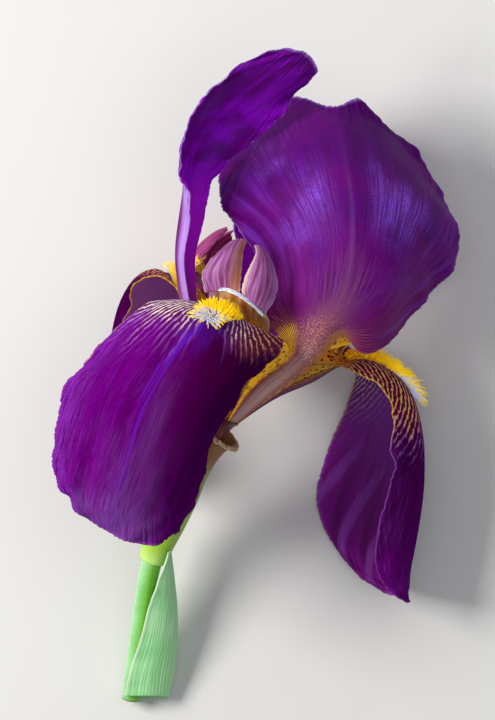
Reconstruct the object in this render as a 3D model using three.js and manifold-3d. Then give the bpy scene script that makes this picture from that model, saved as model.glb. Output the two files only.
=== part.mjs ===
// A cut bearded iris laid on its back: three hanging falls, three domed standards, the style arms,
// stamens and beards between them, and the tube, spathes and cut stem that carried the bloom.
// Millimetres. +Y runs up the stem, +Z is up from the surface, and the origin is under the middle.
import * as THREE from 'three';
import { mergeVertices } from 'three/addons/utils/BufferGeometryUtils.js';
import Module from 'manifold-3d';

const wasm = await Module();
wasm.setup();

// Driving dimensions
const PETAL = 0.9; // thickness of a petal
const LEAF = 0.8; // thickness of the green bracts
const STYLE = { strap: 1.2, stigma: 0.9, crest: 0.8 }; // thicknesses of a style arm's parts
const MARGIN = 0.6; // a petal's share of its thickness left at its edge
const STEM_RADIUS = 3.3;
const TUBE_RADIUS = 3;
const OVARY_SWELL = 0.9; // how far the ovary stands out beyond the tube
const RIM_FLARE = 2.4; // how far the tube opens at its top
const LEAN = THREE.MathUtils.degToRad(23); // the bloom's axis, tilted to +X from +Y
const BLOOM_BASE = new THREE.Vector3(-11, -13.5, 45.5); // top of the perianth tube
const CUT_END = new THREE.Vector3(-41.8, -107, 5.2);
const STALK_BEND = new THREE.Vector3(-31.5, -51.5, 28); // where the stem ends and the ovary begins

// Bearings round the bloom's axis: 0 faces straight up from the surface, +90 faces +X
const FALL_BEARING = { front: -18, right: 113, back: -124 };
const STANDARD_BEARING = { left: -71, right: 47, back: 174 };
const CLAW_HALF_ANGLE = 25;
const SEAT_GAP = 0.5; // between a claw's foot and the rim that it stands on
const FALL_RING = 4.9; // the falls' claws stand on the tube's rim, outside the standards'
const STANDARD_RING = 4.3;

const PETAL_GRID = { along: 24, across: 10 };
const COLOUR = {
  petal: 0x5a1a78, styleArm: 0xb58ab8, stamen: 0xe9e0b4, beard: 0xd9a514, tube: 0x7a3b3a, stem: 0x7fbf3a,
  outerSpathe: 0x9bc24c, innerSpathe: 0xa9b46a, leaf: 0x6fb277,
};

const { degToRad } = THREE.MathUtils;
const point = ([x, y, z]) => new THREE.Vector3(x, y, z);
const toPoints = (rows) => rows.map((row) => row.map(point));
const axisUp = new THREE.Vector3(Math.sin(LEAN), Math.cos(LEAN), 0);
const axisRight = new THREE.Vector3(Math.cos(LEAN), -Math.sin(LEAN), 0);
const axisFront = new THREE.Vector3(0, 0, 1);

// A point that stands `out` from the bloom's axis at a bearing, and `up` along it.
function onBloom(bearing, out, up) {
  const angle = degToRad(bearing);
  return BLOOM_BASE.clone()
    .addScaledVector(axisRight, out * Math.sin(angle))
    .addScaledVector(axisFront, out * Math.cos(angle))
    .addScaledVector(axisUp, up);
}

// The foot of a petal: five points along its share of the tube's rim.
function clawFoot(bearing, ring) {
  return [-1, -0.5, 0, 0.5, 1].map((side) => onBloom(bearing + side * CLAW_HALF_ANGLE, ring, SEAT_GAP));
}

function mesh(name, geometry, colour, roughness) {
  geometry.computeVertexNormals();
  const material = new THREE.MeshStandardMaterial({ color: colour, roughness, metalness: 0 });
  const made = new THREE.Mesh(geometry, material);
  made.name = name;
  return made;
}

function signedVolume(positions, indices) {
  const corner = [0, 1, 2].map(() => new THREE.Vector3());
  let sum = 0;
  for (let i = 0; i < indices.length; i += 3) {
    corner.forEach((vertex, k) => vertex.fromArray(positions, indices[i + k] * 3));
    sum += corner[0].dot(corner[1].cross(corner[2]));
  }
  return sum;
}

function closedGeometry(positions, indices) {
  if (signedVolume(positions, indices) < 0) indices.reverse();
  const geometry = new THREE.BufferGeometry();
  geometry.setAttribute('position', new THREE.Float32BufferAttribute(positions, 3));
  geometry.setIndex(indices);
  return geometry;
}

// The middle surface of a thin organ. Each row of points runs across it from margin to margin, and
// smooth curves join the rows along its length (u, foot to tip) and the points across its width (v).
function surfaceThrough(rows) {
  const rails = rows[0].map((_, rail) => new THREE.CatmullRomCurve3(rows.map((row) => row[rail])));
  const pointAt = (u, v) => new THREE.CatmullRomCurve3(rails.map((rail) => rail.getPoint(u))).getPoint(v);
  const step = 0.02; // of the length or width, to each side of where the slope is taken
  const difference = (u0, v0, u1, v1) => pointAt(u1, v1).sub(pointAt(u0, v0));
  const normalAt = (u, v) => {
    const lengthwise = difference(Math.max(u - step, 0), v, Math.min(u + step, 1), v);
    const crosswise = difference(u, Math.max(v - step, 0), u, Math.min(v + step, 1));
    return lengthwise.cross(crosswise).normalize();
  };
  return { point: pointAt, normal: normalAt };
}

// The faces of a closed shell between two grids of points, one listed after the other.
function gridShell(along, across) {
  const width = across + 1;
  const under = width * (along + 1);
  const indices = [];
  const quad = (a, b, c, d) => indices.push(a, b, c, a, c, d);
  for (let i = 0; i < along; i += 1) {
    for (let j = 0; j < across; j += 1) {
      const a = i * width + j;
      quad(a, a + 1, a + 1 + width, a + width);
      quad(under + a, under + a + width, under + a + 1 + width, under + a + 1);
    }
    const left = i * width;
    const right = left + across;
    quad(left, left + width, under + left + width, under + left);
    quad(right, under + right, under + right + width, right + width);
  }
  for (let j = 0; j < across; j += 1) {
    const foot = j;
    const tip = along * width + j;
    quad(foot, under + foot, under + foot + 1, foot + 1);
    quad(tip, tip + 1, under + tip + 1, under + tip);
  }
  return indices;
}

// A thin closed solid: the middle surface moved half a thickness each way, thinner at its margins.
function sheet(surface, { along, across, thickness = PETAL }) {
  const positions = [];
  for (const way of [1, -1]) {
    for (let i = 0; i <= along; i += 1) {
      for (let j = 0; j <= across; j += 1) {
        const atMargin = j === 0 || j === across || i === along;
        const half = (way * thickness * (atMargin ? MARGIN : 1)) / 2;
        const [u, v] = [i / along, j / across];
        positions.push(...surface.point(u, v).addScaledVector(surface.normal(u, v), half).toArray());
      }
    }
  }
  return closedGeometry(positions, gridShell(along, across));
}

// A round solid swept along a curve, with a radius that changes along it and a flattened section.
function sweep(path, radiusAt, { steps, sides, flat = 1 }) {
  const frames = path.computeFrenetFrames(steps, false);
  const positions = [];
  for (let i = 0; i <= steps; i += 1) {
    const centre = path.getPointAt(i / steps);
    const radius = radiusAt(i / steps);
    for (let k = 0; k < sides; k += 1) {
      const angle = (k / sides) * 2 * Math.PI;
      positions.push(...centre.clone()
        .addScaledVector(frames.normals[i], radius * Math.cos(angle))
        .addScaledVector(frames.binormals[i], radius * flat * Math.sin(angle)).toArray());
    }
  }
  const ends = [path.getPointAt(0), path.getPointAt(1)];
  ends.forEach((end) => positions.push(...end.toArray()));
  const footCentre = sides * (steps + 1);
  const indices = [];
  for (let k = 0; k < sides; k += 1) {
    const next = (k + 1) % sides;
    for (let i = 0; i < steps; i += 1) {
      const a = i * sides;
      indices.push(a + k, a + next, a + sides + next, a + k, a + sides + next, a + sides + k);
    }
    const top = steps * sides;
    indices.push(footCentre, next, k, footCentre + 1, top + k, top + next);
  }
  return closedGeometry(positions, indices);
}

const curve = (points) => new THREE.CatmullRomCurve3(points);

function toSolid(geometry) {
  const bare = geometry.clone();
  bare.deleteAttribute('normal');
  bare.deleteAttribute('uv');
  const merged = mergeVertices(bare, 1e-4);
  return new wasm.Manifold(new wasm.Mesh({
    numProp: 3,
    vertProperties: new Float32Array(merged.attributes.position.array),
    triVerts: new Uint32Array(merged.index.array),
  }));
}

function join(geometries) {
  const solid = geometries.map(toSolid).reduce((whole, piece) => whole.add(piece));
  const made = solid.getMesh();
  const geometry = new THREE.BufferGeometry();
  geometry.setAttribute('position', new THREE.BufferAttribute(made.vertProperties, 3));
  geometry.setIndex(new THREE.BufferAttribute(made.triVerts, 1));
  return geometry;
}

const iris = new THREE.Group();

// Falls: the three outer petals. Each rises as a channelled claw, widens to the haft that carries
// the beard, arches over and hangs down as a broad blade. Rows run from the claw to the end margin.
const FALLS = {
  front: [
    [[-13, 4, 56], [-10.5, 0.5, 60.5], [-6.5, -0.2, 62], [-2.5, 0.5, 60.5], [0, 4, 55.5]],
    [[-21, 16, 62], [-13.5, 14, 69], [-5.5, 13, 71.5], [2.5, 11, 70], [8, 9.5, 63.5]],
    [[-31, 25.5, 69], [-20.5, 25, 77], [-10, 21.5, 80.5], [0.5, 16.5, 78.5], [8.5, 12.5, 70]],
    [[-41, 21, 76], [-27.5, 22.8, 86.5], [-14, 18.5, 90.5], [-3, 12.3, 87.5], [8, 8.5, 77]],
    [[-53, 9, 81], [-35, 11.2, 94.5], [-17.5, 8.2, 99], [-6.5, 3.7, 95], [1, 2.5, 84]],
    [[-63.5, -5, 83], [-45, -6, 98], [-26, -9, 103.5], [-15, -10, 99], [-8.5, -9, 87]],
    [[-67, -22, 81.5], [-50, -24, 97], [-33, -27, 102], [-22.5, -27, 98], [-15.5, -25, 86.5]],
    [[-65, -35, 80], [-54, -39, 92], [-39, -42, 97], [-29, -42, 94], [-20, -39, 85.5]],
    [[-59.5, -42, 80], [-52, -49, 87], [-43, -53, 91], [-33.5, -54.5, 90], [-25.5, -50.5, 85]],
  ],
  right: [
    [[2, -3, 47], [4.8, -6, 45], [5.8, -6.8, 41], [3.8, -4.2, 37.5], [1.2, 1.2, 35.2]],
    [[14, 3, 48.5], [17.5, -1, 45], [18, -1, 38], [13.5, 3.5, 32], [7, 14.5, 30]],
    [[26, 4.5, 47.5], [27.5, 4, 42], [27, 4.5, 34], [24, 7, 26], [19, 16, 23]],
    [[34, 1, 48], [35.5, 5, 40], [35, 6.5, 30.5], [32, 8, 22], [28.5, 12.5, 16.5]],
    [[41, -3, 49], [44, 0.5, 39], [43.5, 3.5, 28], [38, 4, 17], [33, 3.5, 11]],
    [[45.5, -11, 48.5], [50.5, -7.5, 38], [50.5, -4.5, 26], [41.5, -6, 13.5], [31, -6.5, 7]],
    [[44, -24, 47], [53.5, -22, 36], [54.5, -20, 22], [42, -21, 8.5], [25, -20.5, 3]],
    [[45, -33.5, 45], [54.5, -36, 34], [53.5, -37, 19], [39.5, -38, 6], [19.8, -37, 0.9]],
    [[40, -49, 42.5], [52, -53, 33.5], [51, -54, 19], [38, -54, 6], [22.5, -50.5, 0.9]],
    [[39.5, -63, 38], [49, -67, 33.5], [49.5, -67.5, 22], [40.5, -66, 11], [31, -63, 6]],
    [[44, -71, 34.5], [49, -74, 31.5], [51, -74.5, 26], [46, -72.5, 19], [39, -69.5, 13.5]],
  ],
  back: [
    [[-11, 4, 33.5], [-13, 1.2, 34.5], [-16.5, 0, 37], [-18.5, 1.5, 40], [-18, 4.5, 43.2]],
    [[-9, 21, 21.5], [-15, 17.5, 23.5], [-21.5, 17, 30], [-23.5, 18.5, 37], [-22, 21, 43]],
    [[-12, 28, 12.5], [-18.5, 28.5, 17], [-25.5, 29, 25], [-26.8, 30, 34], [-25, 28, 42]],
    [[-18.5, 29, 8.5], [-25, 34, 13], [-30.5, 35, 20.5], [-33, 36, 30.5], [-33, 34, 40.5]],
    [[-23, 22, 4], [-31, 30, 8.5], [-37, 32, 16.5], [-40, 33.5, 27], [-39.5, 31, 37.5]],
    [[-26, 12, 2], [-36, 20, 5.5], [-43, 22, 13.5], [-46, 23.5, 24.5], [-43.5, 22, 35.5]],
    [[-26, -2, 0.9], [-38, 4, 3.4], [-46.5, 6, 12], [-49, 7, 24.5], [-45, 6, 37]],
    [[-25, -14, 0.9], [-38, -11, 3.4], [-46.5, -10, 13], [-48.5, -9.5, 26], [-42.5, -10, 38]],
    [[-25, -25, 3], [-36, -25, 6], [-44, -25, 15.5], [-45.5, -25, 27], [-38.5, -24, 36.5]],
    [[-29, -30, 7.5], [-35, -33, 11.5], [-39.5, -34.5, 19], [-39.5, -33.5, 27], [-35.5, -30, 33]],
  ],
};

const fallSurfaces = {};
for (const [side, rows] of Object.entries(FALLS)) {
  const foot = clawFoot(FALL_BEARING[side], FALL_RING);
  fallSurfaces[side] = surfaceThrough([foot, ...toPoints(rows)]);
  iris.add(mesh(`${side}_fall`, sheet(fallSurfaces[side], PETAL_GRID), COLOUR.petal, 0.6));
}

// Standards: the three inner petals. Each stands on a narrow rolled claw and opens to a broad
// cupped blade that domes over the middle of the bloom.
const STANDARDS = {
  left: [
    [[-17.2, 5.5, 46.4], [-19.2, 5.8, 47.6], [-20.4, 6, 49.4], [-19.8, 6, 51], [-18.2, 6, 52.2]],
    [[-20, 27, 46], [-23.5, 27.5, 47.5], [-25.5, 28, 51], [-24.8, 27.5, 54], [-22.5, 27, 56.5]],
    [[-20.3, 41, 45], [-24.5, 41, 48], [-26.8, 41, 53], [-26.2, 40, 57], [-24, 39, 60.5]],
    [[-17.5, 52, 47], [-22.8, 52.5, 50.5], [-25.5, 53, 56.5], [-24.8, 52.5, 61], [-22, 52, 65.5]],
    [[-15, 64, 51], [-20, 65.5, 55], [-22.8, 66, 62], [-24, 65.5, 68], [-23.5, 65, 74]],
    [[-7, 73, 56], [-13.5, 76, 61.5], [-19, 77.5, 68.5], [-23.5, 77, 75.5], [-25.5, 75, 82]],
    [[3, 81.5, 61], [-2.5, 86, 67], [-9, 89, 73.5], [-15, 90, 79.5], [-19.5, 89, 84.5]],
    [[11, 90, 65.5], [7.5, 94, 71.5], [2, 97.5, 76.5], [-3.5, 99.5, 80.5], [-9, 100, 83.5]],
    [[20, 101, 70], [18.5, 104.5, 73.5], [15.5, 107, 76.5], [10, 108, 78.5], [3.5, 107, 79.5]],
  ],
  right: [
    [[0.4, -1, 56.5], [1.4, -2.4, 58], [2.6, -3.8, 58.4], [4, -5, 57.8], [5.2, -6, 56]],
    [[11, 8.7, 62.5], [13, 8, 65], [15, 6.8, 65.8], [17.2, 5.2, 65], [19, 3.8, 62.5]],
    [[7, 14.5, 60], [14, 17, 66.5], [21.5, 17, 69.5], [25.5, 16, 68], [28.2, 14.2, 64.5]],
    [[5.5, 16.6, 57.5], [14, 21, 67.5], [25, 21.5, 71.5], [32, 18, 69], [34.5, 8, 58.5]],
    [[1.8, 20.5, 55.5], [13, 26, 69], [28.3, 28, 73.5], [39, 21, 68.5], [43.5, 11, 54.5]],
    [[1.5, 33, 53], [14, 37, 70], [30.7, 38, 76], [46, 32, 69], [53, 23.5, 50]],
    [[-3, 46, 51], [13, 50.5, 71], [31.3, 50, 77], [49, 46, 67], [62.5, 32.5, 47]],
    [[-11, 55, 50], [9, 62, 68], [30.7, 61, 75], [50, 58, 63.5], [67, 48, 44.5]],
    [[-13, 64.5, 47], [7.5, 73, 61.5], [28.8, 72, 70.5], [47, 70, 58.5], [61, 62.5, 42.5]],
    [[-11, 76, 44], [6.5, 84, 53], [26.8, 83, 63.5], [41, 80.5, 54], [51, 75.5, 42.5]],
    [[-1, 88, 42.5], [13.5, 93, 49.5], [25.4, 89.5, 58.5], [32.5, 91.5, 53.5], [41, 83.5, 46]],
  ],
  back: [
    [[-1.5, -1, 35], [-3, -0.8, 34.2], [-4.5, -0.2, 33.8], [-6, 0.6, 34.2], [-7.3, 1.4, 35]],
    [[8, 13.5, 23.5], [5.5, 14.5, 21.5], [2, 15.5, 20.6], [-1.5, 16.5, 21], [-5, 17.5, 22.5]],
    [[26, 28, 19], [19, 29, 11.5], [9, 30.5, 8.5], [-1, 31.5, 12], [-7.5, 31, 21]],
    [[45, 40, 26], [34.5, 43.5, 10.5], [17, 45, 2.8], [1.5, 46, 10], [-6.5, 45, 25]],
    [[50, 54, 30], [40, 58, 11.5], [21, 59, 0.9], [3, 61, 10.5], [-6.5, 60, 28]],
    [[48, 67, 32], [40, 70, 15.5], [23.5, 71, 5], [7, 73, 14.5], [-3.5, 71.5, 30]],
    [[42, 76, 34], [36, 78, 23], [24, 80, 15], [12, 82, 22.5], [3, 80, 33]],
    [[37, 81, 37], [31, 84, 31], [23, 86, 27], [16, 86.5, 31], [9, 84, 37]],
  ],
};

for (const [side, rows] of Object.entries(STANDARDS)) {
  const foot = clawFoot(STANDARD_BEARING[side], STANDARD_RING);
  const surface = surfaceThrough([foot, ...toPoints(rows)]);
  iris.add(mesh(`${side}_standard`, sheet(surface, PETAL_GRID), COLOUR.petal, 0.55));
}

// Style arms: petal-like straps that arch over the falls. Each ends in the small flap of the stigma
// and two upright crests. The front arm is drawn in place and the others are it, turned about the axis.
const STYLE_STRAP = [
  [[-12, -12.3, 47.2], [-11.4, -12.5, 47.8], [-10.8, -12.8, 48], [-10.2, -13, 47.8], [-9.6, -13.3, 47.2]],
  [[-10.5, 4, 52.5], [-8, 4.5, 54.5], [-5.5, 4, 55.2], [-3, 3.4, 54.5], [-1, 2, 52.5]],
  [[-12, 16, 59.5], [-8.5, 16.8, 62.3], [-4.5, 15.8, 63.3], [-0.5, 14.5, 62.3], [3, 12, 59.5]],
  [[-15.5, 25, 68], [-11, 25.8, 71.8], [-6, 24, 73.3], [-0.5, 21.5, 72], [4, 17.5, 68.5]],
  [[-15.5, 29, 75.5], [-11, 29, 78], [-5.5, 26.8, 79.3], [-1, 24, 78.6], [2.8, 20.5, 76.5]],
];
const STIGMA = [
  [[-12.5, 29.8, 77.2], [-8.8, 29.2, 78.6], [-5, 27.2, 79.3], [-1, 24.2, 78.8], [2.4, 20.8, 77.2]],
  [[-12.8, 28.2, 79], [-9, 27.6, 80.6], [-5.2, 25.6, 81.4], [-1.2, 22.8, 80.8], [2, 19.6, 79]],
];
const LEFT_CREST = [
  [[-17, 28, 74], [-14.5, 28.5, 76.5], [-11.5, 28.5, 77.5], [-8.5, 28, 78.2], [-5.5, 26.8, 78.5]],
  [[-18, 34, 74.5], [-15.5, 34.8, 78], [-12, 35.2, 79.5], [-8.3, 35, 79], [-5, 34.5, 77]],
  [[-14, 40, 75], [-11.8, 41, 77.5], [-9.2, 41.6, 78.5], [-6.6, 41.4, 78], [-4.6, 40.6, 76.2]],
  [[-8.6, 44.6, 73], [-7.4, 45.4, 73.8], [-6, 45.9, 74], [-4.6, 45.9, 73.6], [-3.4, 45.2, 72.8]],
];
const RIGHT_CREST = [
  [[-5, 26.5, 78.3], [-3, 25.6, 79.2], [-0.8, 24.2, 79.3], [1.4, 22.6, 78.5], [2.8, 20.8, 77.5]],
  [[-4.8, 30.5, 79], [-2.2, 30.2, 80.6], [0.8, 29.4, 80.4], [3.8, 28, 78.5], [6, 26.2, 75.5]],
  [[-3, 35.5, 79], [-0.7, 35.2, 79.8], [2, 34.4, 79.2], [4.7, 33.2, 77.2], [6.8, 31.8, 74.4]],
  [[-0.4, 41, 76.8], [0.6, 40.8, 77.2], [2, 40.2, 76.8], [3.6, 39.2, 75.6], [4.8, 38, 74]],
  [[-1, 43.8, 74.8], [-0.3, 43.9, 75], [0.6, 43.8, 74.9], [1.6, 43.3, 74.4], [2.3, 42.8, 73.6]],
];

const ARM_BEARING = -24;
// How far each arm is turned about the axis, and then raised off its own fall, in degrees
const ARM_POSES = { front: [0, 0], right: [131, 7], back: [-102, 3] };

function poseArm(geometry, turn, raise) {
  const bearing = degToRad(ARM_BEARING);
  const hinge = axisRight.clone().multiplyScalar(Math.cos(bearing))
    .addScaledVector(axisFront, -Math.sin(bearing));
  const raised = new THREE.Matrix4().makeRotationAxis(hinge, -degToRad(raise));
  const turned = new THREE.Matrix4().makeRotationAxis(axisUp, degToRad(turn));
  return geometry.clone()
    .translate(-BLOOM_BASE.x, -BLOOM_BASE.y, -BLOOM_BASE.z)
    .applyMatrix4(turned.multiply(raised))
    .translate(BLOOM_BASE.x, BLOOM_BASE.y, BLOOM_BASE.z);
}

function lobe(rows, along, across, thickness) {
  return sheet(surfaceThrough(toPoints(rows)), { along, across, thickness });
}

const frontArm = join([
  lobe(STYLE_STRAP, 10, 6, STYLE.strap),
  lobe(STIGMA, 1, 6, STYLE.stigma),
  lobe(LEFT_CREST, 6, 4, STYLE.crest),
  lobe(RIGHT_CREST, 7, 4, STYLE.crest),
]);
for (const [side, [turn, raise]] of Object.entries(ARM_POSES)) {
  iris.add(mesh(`${side}_style_arm`, poseArm(frontArm, turn, raise), COLOUR.styleArm, 0.5));
}

// Stamens: under each style arm a thin filament carries a long anther, blunt at both ends.
// Their paths are given as how far each point stands out from the axis and up along it.
const FILAMENT = { radius: 0.5, path: [[3.9, 1.1], [8.4, 9], [13.4, 17.6], [19.4, 24.6]] };
const ANTHER = { radius: 1, flat: 0.7, path: [[18.4, 23.6], [23.4, 27.6], [28.4, 31]] };
const STAMEN_GRID = { steps: 8, sides: 6 };
const antherRadius = (t) => ANTHER.radius * Math.sqrt(1 - 0.75 * (2 * t - 1) ** 2);

for (const [side, bearing] of Object.entries(FALL_BEARING)) {
  const pathOf = ({ path }) => curve(path.map(([out, up]) => onBloom(bearing, out, up)));
  const stamen = join([
    sweep(pathOf(FILAMENT), () => FILAMENT.radius, STAMEN_GRID),
    sweep(pathOf(ANTHER), antherRadius, { ...STAMEN_GRID, flat: ANTHER.flat }),
  ]);
  iris.add(mesh(`${side}_stamen`, stamen, COLOUR.stamen, 0.6));
}

// Beards: a dense crest of short hairs along the middle of each fall, from the haft onto the blade.
// It is a low dome over an oval patch of the fall's surface, given in shares of its length and width.
const BEARD = { halfWidth: 0.12, height: 3.2, rows: 8, columns: 4 };
const BEARD_PLACES = {
  front: { middle: 0.364, halfLength: 0.09 },
  right: { middle: 0.42, halfLength: 0.11 },
  back: { middle: 0.33, halfLength: 0.07 },
};

function beard(surface, { middle, halfLength }) {
  const positions = [];
  for (const top of [true, false]) {
    for (let i = 0; i <= BEARD.rows; i += 1) {
      for (let j = 0; j <= BEARD.columns; j += 1) {
        const lengthwise = (2 * i) / BEARD.rows - 1;
        const crosswise = (2 * j) / BEARD.columns - 1;
        const narrowing = Math.sqrt(1 - 0.85 * lengthwise ** 2);
        const u = middle + halfLength * lengthwise;
        const v = 0.5 + BEARD.halfWidth * crosswise * narrowing;
        const crown = 0.25 + 0.75 * narrowing * Math.cos((crosswise * Math.PI) / 2);
        const lift = PETAL / 2 + SEAT_GAP + (top ? BEARD.height * crown : 0);
        positions.push(...surface.point(u, v).addScaledVector(surface.normal(u, v), lift).toArray());
      }
    }
  }
  return closedGeometry(positions, gridShell(BEARD.rows, BEARD.columns));
}

for (const [side, surface] of Object.entries(fallSurfaces)) {
  iris.add(mesh(`${side}_beard`, beard(surface, BEARD_PLACES[side]), COLOUR.beard, 0.8));
}

// The stalk: the cut stem, and above its bend the ovary and the perianth tube, grown as one.
const OVARY_LINE = [[-27, -41, 33.5], [-23.2, -32, 38], [-18.3, -24.2, 42.6]].map(point);
const stalkLine = curve([
  STALK_BEND, ...OVARY_LINE, BLOOM_BASE.clone().addScaledVector(axisUp, -5), BLOOM_BASE,
]);
const OVARY_SHARE = 0.5; // of the stalk's line above the bend
const FLARE_SHARE = 0.18;

function stalkRadius(t) {
  const swell = OVARY_SWELL * Math.max(0, Math.sin((Math.PI * Math.min(t, OVARY_SHARE)) / OVARY_SHARE));
  const flare = Math.max(0, t - (1 - FLARE_SHARE)) / FLARE_SHARE;
  return TUBE_RADIUS + swell + RIM_FLARE * flare ** 2;
}
const stalk = sweep(stalkLine, stalkRadius, { steps: 18, sides: 12 });
iris.add(mesh('perianth_tube', stalk, COLOUR.tube, 0.6));

const stemTop = STALK_BEND.clone().addScaledVector(stalkLine.getTangentAt(0), -SEAT_GAP);
const stemLine = curve([CUT_END, ...[[-38.6, -83, 14.5], [-35.6, -64, 22.3]].map(point), stemTop]);
const stemSection = new THREE.Shape().absarc(0, 0, STEM_RADIUS, 0, 2 * Math.PI);
const stem = new THREE.ExtrudeGeometry(stemSection, {
  steps: 12, curveSegments: 7, extrudePath: stemLine, bevelEnabled: false,
});
iris.add(mesh('stem', join([stem]), COLOUR.stem, 0.5));

// Spathes: two papery-tipped bracts that wrap the ovary, the outer one round the inner.
// Each station is how far along the line it lies, its radius, and half the angle that it wraps.
const spatheLine = curve([
  point([-34.8, -60.2, 24]), STALK_BEND, ...OVARY_LINE, BLOOM_BASE.clone().addScaledVector(axisUp, -4),
]);
const SPATHES = {
  outer_spathe: {
    bearing: 95,
    colour: COLOUR.outerSpathe,
    stations: [
      [0, 4.4, 160], [0.12, 5.2, 156], [0.27, 6.1, 150], [0.45, 6.6, 137], [0.63, 6.3, 126],
      [0.8, 5.9, 118], [0.91, 6.1, 112], [1, 7.6, 100],
    ],
  },
  inner_spathe: {
    bearing: -80,
    colour: COLOUR.innerSpathe,
    stations: [
      [0.27, 4.6, 150], [0.45, 5.2, 135], [0.63, 4.9, 115],
      [0.77, 4.6, 85], [0.89, 5, 50], [0.95, 5.6, 20],
    ],
  },
};

function wrap(line, [along, radius, halfAngle], bearing) {
  const centre = line.getPointAt(along);
  const forward = line.getTangentAt(along);
  const side = forward.clone().cross(axisFront).normalize();
  const front = side.clone().cross(forward);
  return [-1, -0.75, -0.5, -0.25, 0, 0.25, 0.5, 0.75, 1].map((step) => {
    const angle = degToRad(bearing + step * halfAngle);
    return centre.clone()
      .addScaledVector(front, radius * Math.cos(angle))
      .addScaledVector(side, radius * Math.sin(angle));
  });
}

for (const [name, { bearing, colour, stations }] of Object.entries(SPATHES)) {
  const rows = stations.map((station) => wrap(spatheLine, station, bearing));
  const bract = sheet(surfaceThrough(rows), { along: 10, across: 12, thickness: LEAF });
  iris.add(mesh(name, bract, colour, 0.6));
}

// Lower leaf: a keeled bract folded round the stem, cut off with it at its foot.
const LEAF_ROWS = [
  [[-43, -107, 0.5], [-36, -107, 0.9], [-29.5, -106.5, 5], [-35, -106, 10], [-44, -106, 10.5]],
  [[-41.5, -97, 3.9], [-35.5, -97, 4.5], [-27.6, -96.4, 8.6], [-34, -97, 13.5], [-42.4, -98, 14.2]],
  [[-38.5, -86.5, 8.2], [-33.5, -86.5, 8.6], [-26.7, -86.5, 12.6], [-31.5, -86.5, 17.4], [-38.6, -86.5, 19]],
  [[-36, -76.6, 12.4], [-32, -76.6, 12.8], [-26.7, -76.6, 16.8], [-30, -76.6, 21.6], [-36, -76.6, 23.8]],
  [[-31.6, -68, 19.5], [-29.6, -68, 20], [-27.6, -66.7, 22.6], [-29.6, -67.5, 25.6], [-33, -68.3, 27.4]],
  [[-29.2, -58.5, 29.6], [-29, -58.2, 29.8], [-28.7, -57.5, 30.2], [-28.9, -57.8, 30.6], [-29.2, -58, 31]],
];
const leaf = sheet(surfaceThrough(toPoints(LEAF_ROWS)), { along: 12, across: 8, thickness: LEAF });
iris.add(mesh('lower_leaf', leaf, COLOUR.leaf, 0.5));

iris.updateMatrixWorld(true);
export default iris;
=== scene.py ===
"""A cut bearded iris laid on its back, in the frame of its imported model. Metres."""
from math import cos, pi, radians, sin

import bpy
import numpy as np
from mathutils import Matrix, Vector


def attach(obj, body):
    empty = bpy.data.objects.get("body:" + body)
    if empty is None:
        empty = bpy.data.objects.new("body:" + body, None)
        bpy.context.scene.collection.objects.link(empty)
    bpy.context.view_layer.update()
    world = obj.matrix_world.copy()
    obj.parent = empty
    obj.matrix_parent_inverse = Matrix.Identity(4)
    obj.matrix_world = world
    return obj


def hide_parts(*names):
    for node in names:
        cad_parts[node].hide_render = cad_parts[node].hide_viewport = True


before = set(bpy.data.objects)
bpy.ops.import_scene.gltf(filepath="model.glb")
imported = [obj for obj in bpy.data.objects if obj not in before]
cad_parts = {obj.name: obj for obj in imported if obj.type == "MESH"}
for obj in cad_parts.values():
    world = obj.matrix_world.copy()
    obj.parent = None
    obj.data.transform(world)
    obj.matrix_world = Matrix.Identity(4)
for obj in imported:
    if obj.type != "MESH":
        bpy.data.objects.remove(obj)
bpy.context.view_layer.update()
MM = 0.001


# The stem: the top of the flowering stalk, a fleshy green rod with faint ribs and a waxy skin.
# It was cut square across, so its end shows the pale pith inside a ring of sap vessels.
def spline(points, at):
    """A smooth curve through points listed along the first axis, read at shares of the list (0 to 1)."""
    points = np.asarray(points, float)
    padded = np.concatenate([[2 * points[0] - points[1]], points, [2 * points[-1] - points[-2]]])
    place = np.asarray(at) * (len(points) - 1)
    first = np.clip(place.astype(int), 0, len(points) - 2)
    p0, p1, p2, p3 = (padded[first + k] for k in range(4))
    steps = (p1 - p0, p2 - p1, p3 - p2)
    d0, d1, d2 = ((step**2).sum(-1, keepdims=True) ** 0.25 + 1e-9 for step in steps)
    leaving = (p1 - p0) / d0 * d1 - (p2 - p0) / (d0 + d1) * d1 + (p2 - p1)
    arriving = (p2 - p1) - (p3 - p1) / (d1 + d2) * d1 + (p3 - p2) / d2 * d1
    t = (place - first).reshape((-1,) + (1,) * (points.ndim - 1))
    bend = 3 * (p2 - p1) - 2 * leaving - arriving
    return p1 + leaving * t + bend * t**2 + (2 * (p1 - p2) + leaving + arriving) * t**3


def unit(vectors):
    return vectors / np.maximum(np.linalg.norm(vectors, axis=-1, keepdims=True), 1e-12)


def ripple(t, cycles, seed):
    """Uneven waves between about -1 and 1, with about this many crests from t = 0 to t = 1."""
    rng = np.random.default_rng(seed)
    paces = (0.53, 0.81, 1.0, 1.37, 1.9)
    return sum(np.sin(2 * pi * (cycles * pace * t + rng.random())) for pace in paces) / 3.2


def srgb(red, green, blue):
    """A colour given as an eye sees it, from 0 to 255, as the shader's linear colour."""
    return tuple(c / 12.92 if c <= 0.04045 else ((c + 0.055) / 1.055) ** 2.4
                 for c in (red / 255, green / 255, blue / 255)) + (1.0,)


def select_only(piece):
    bpy.ops.object.select_all(action="DESELECT")
    piece.select_set(True)
    bpy.context.view_layer.objects.active = piece


def joined(first, *others):
    select_only(first)
    for other in others:
        other.select_set(True)
    bpy.ops.object.join()
    return first


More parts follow.
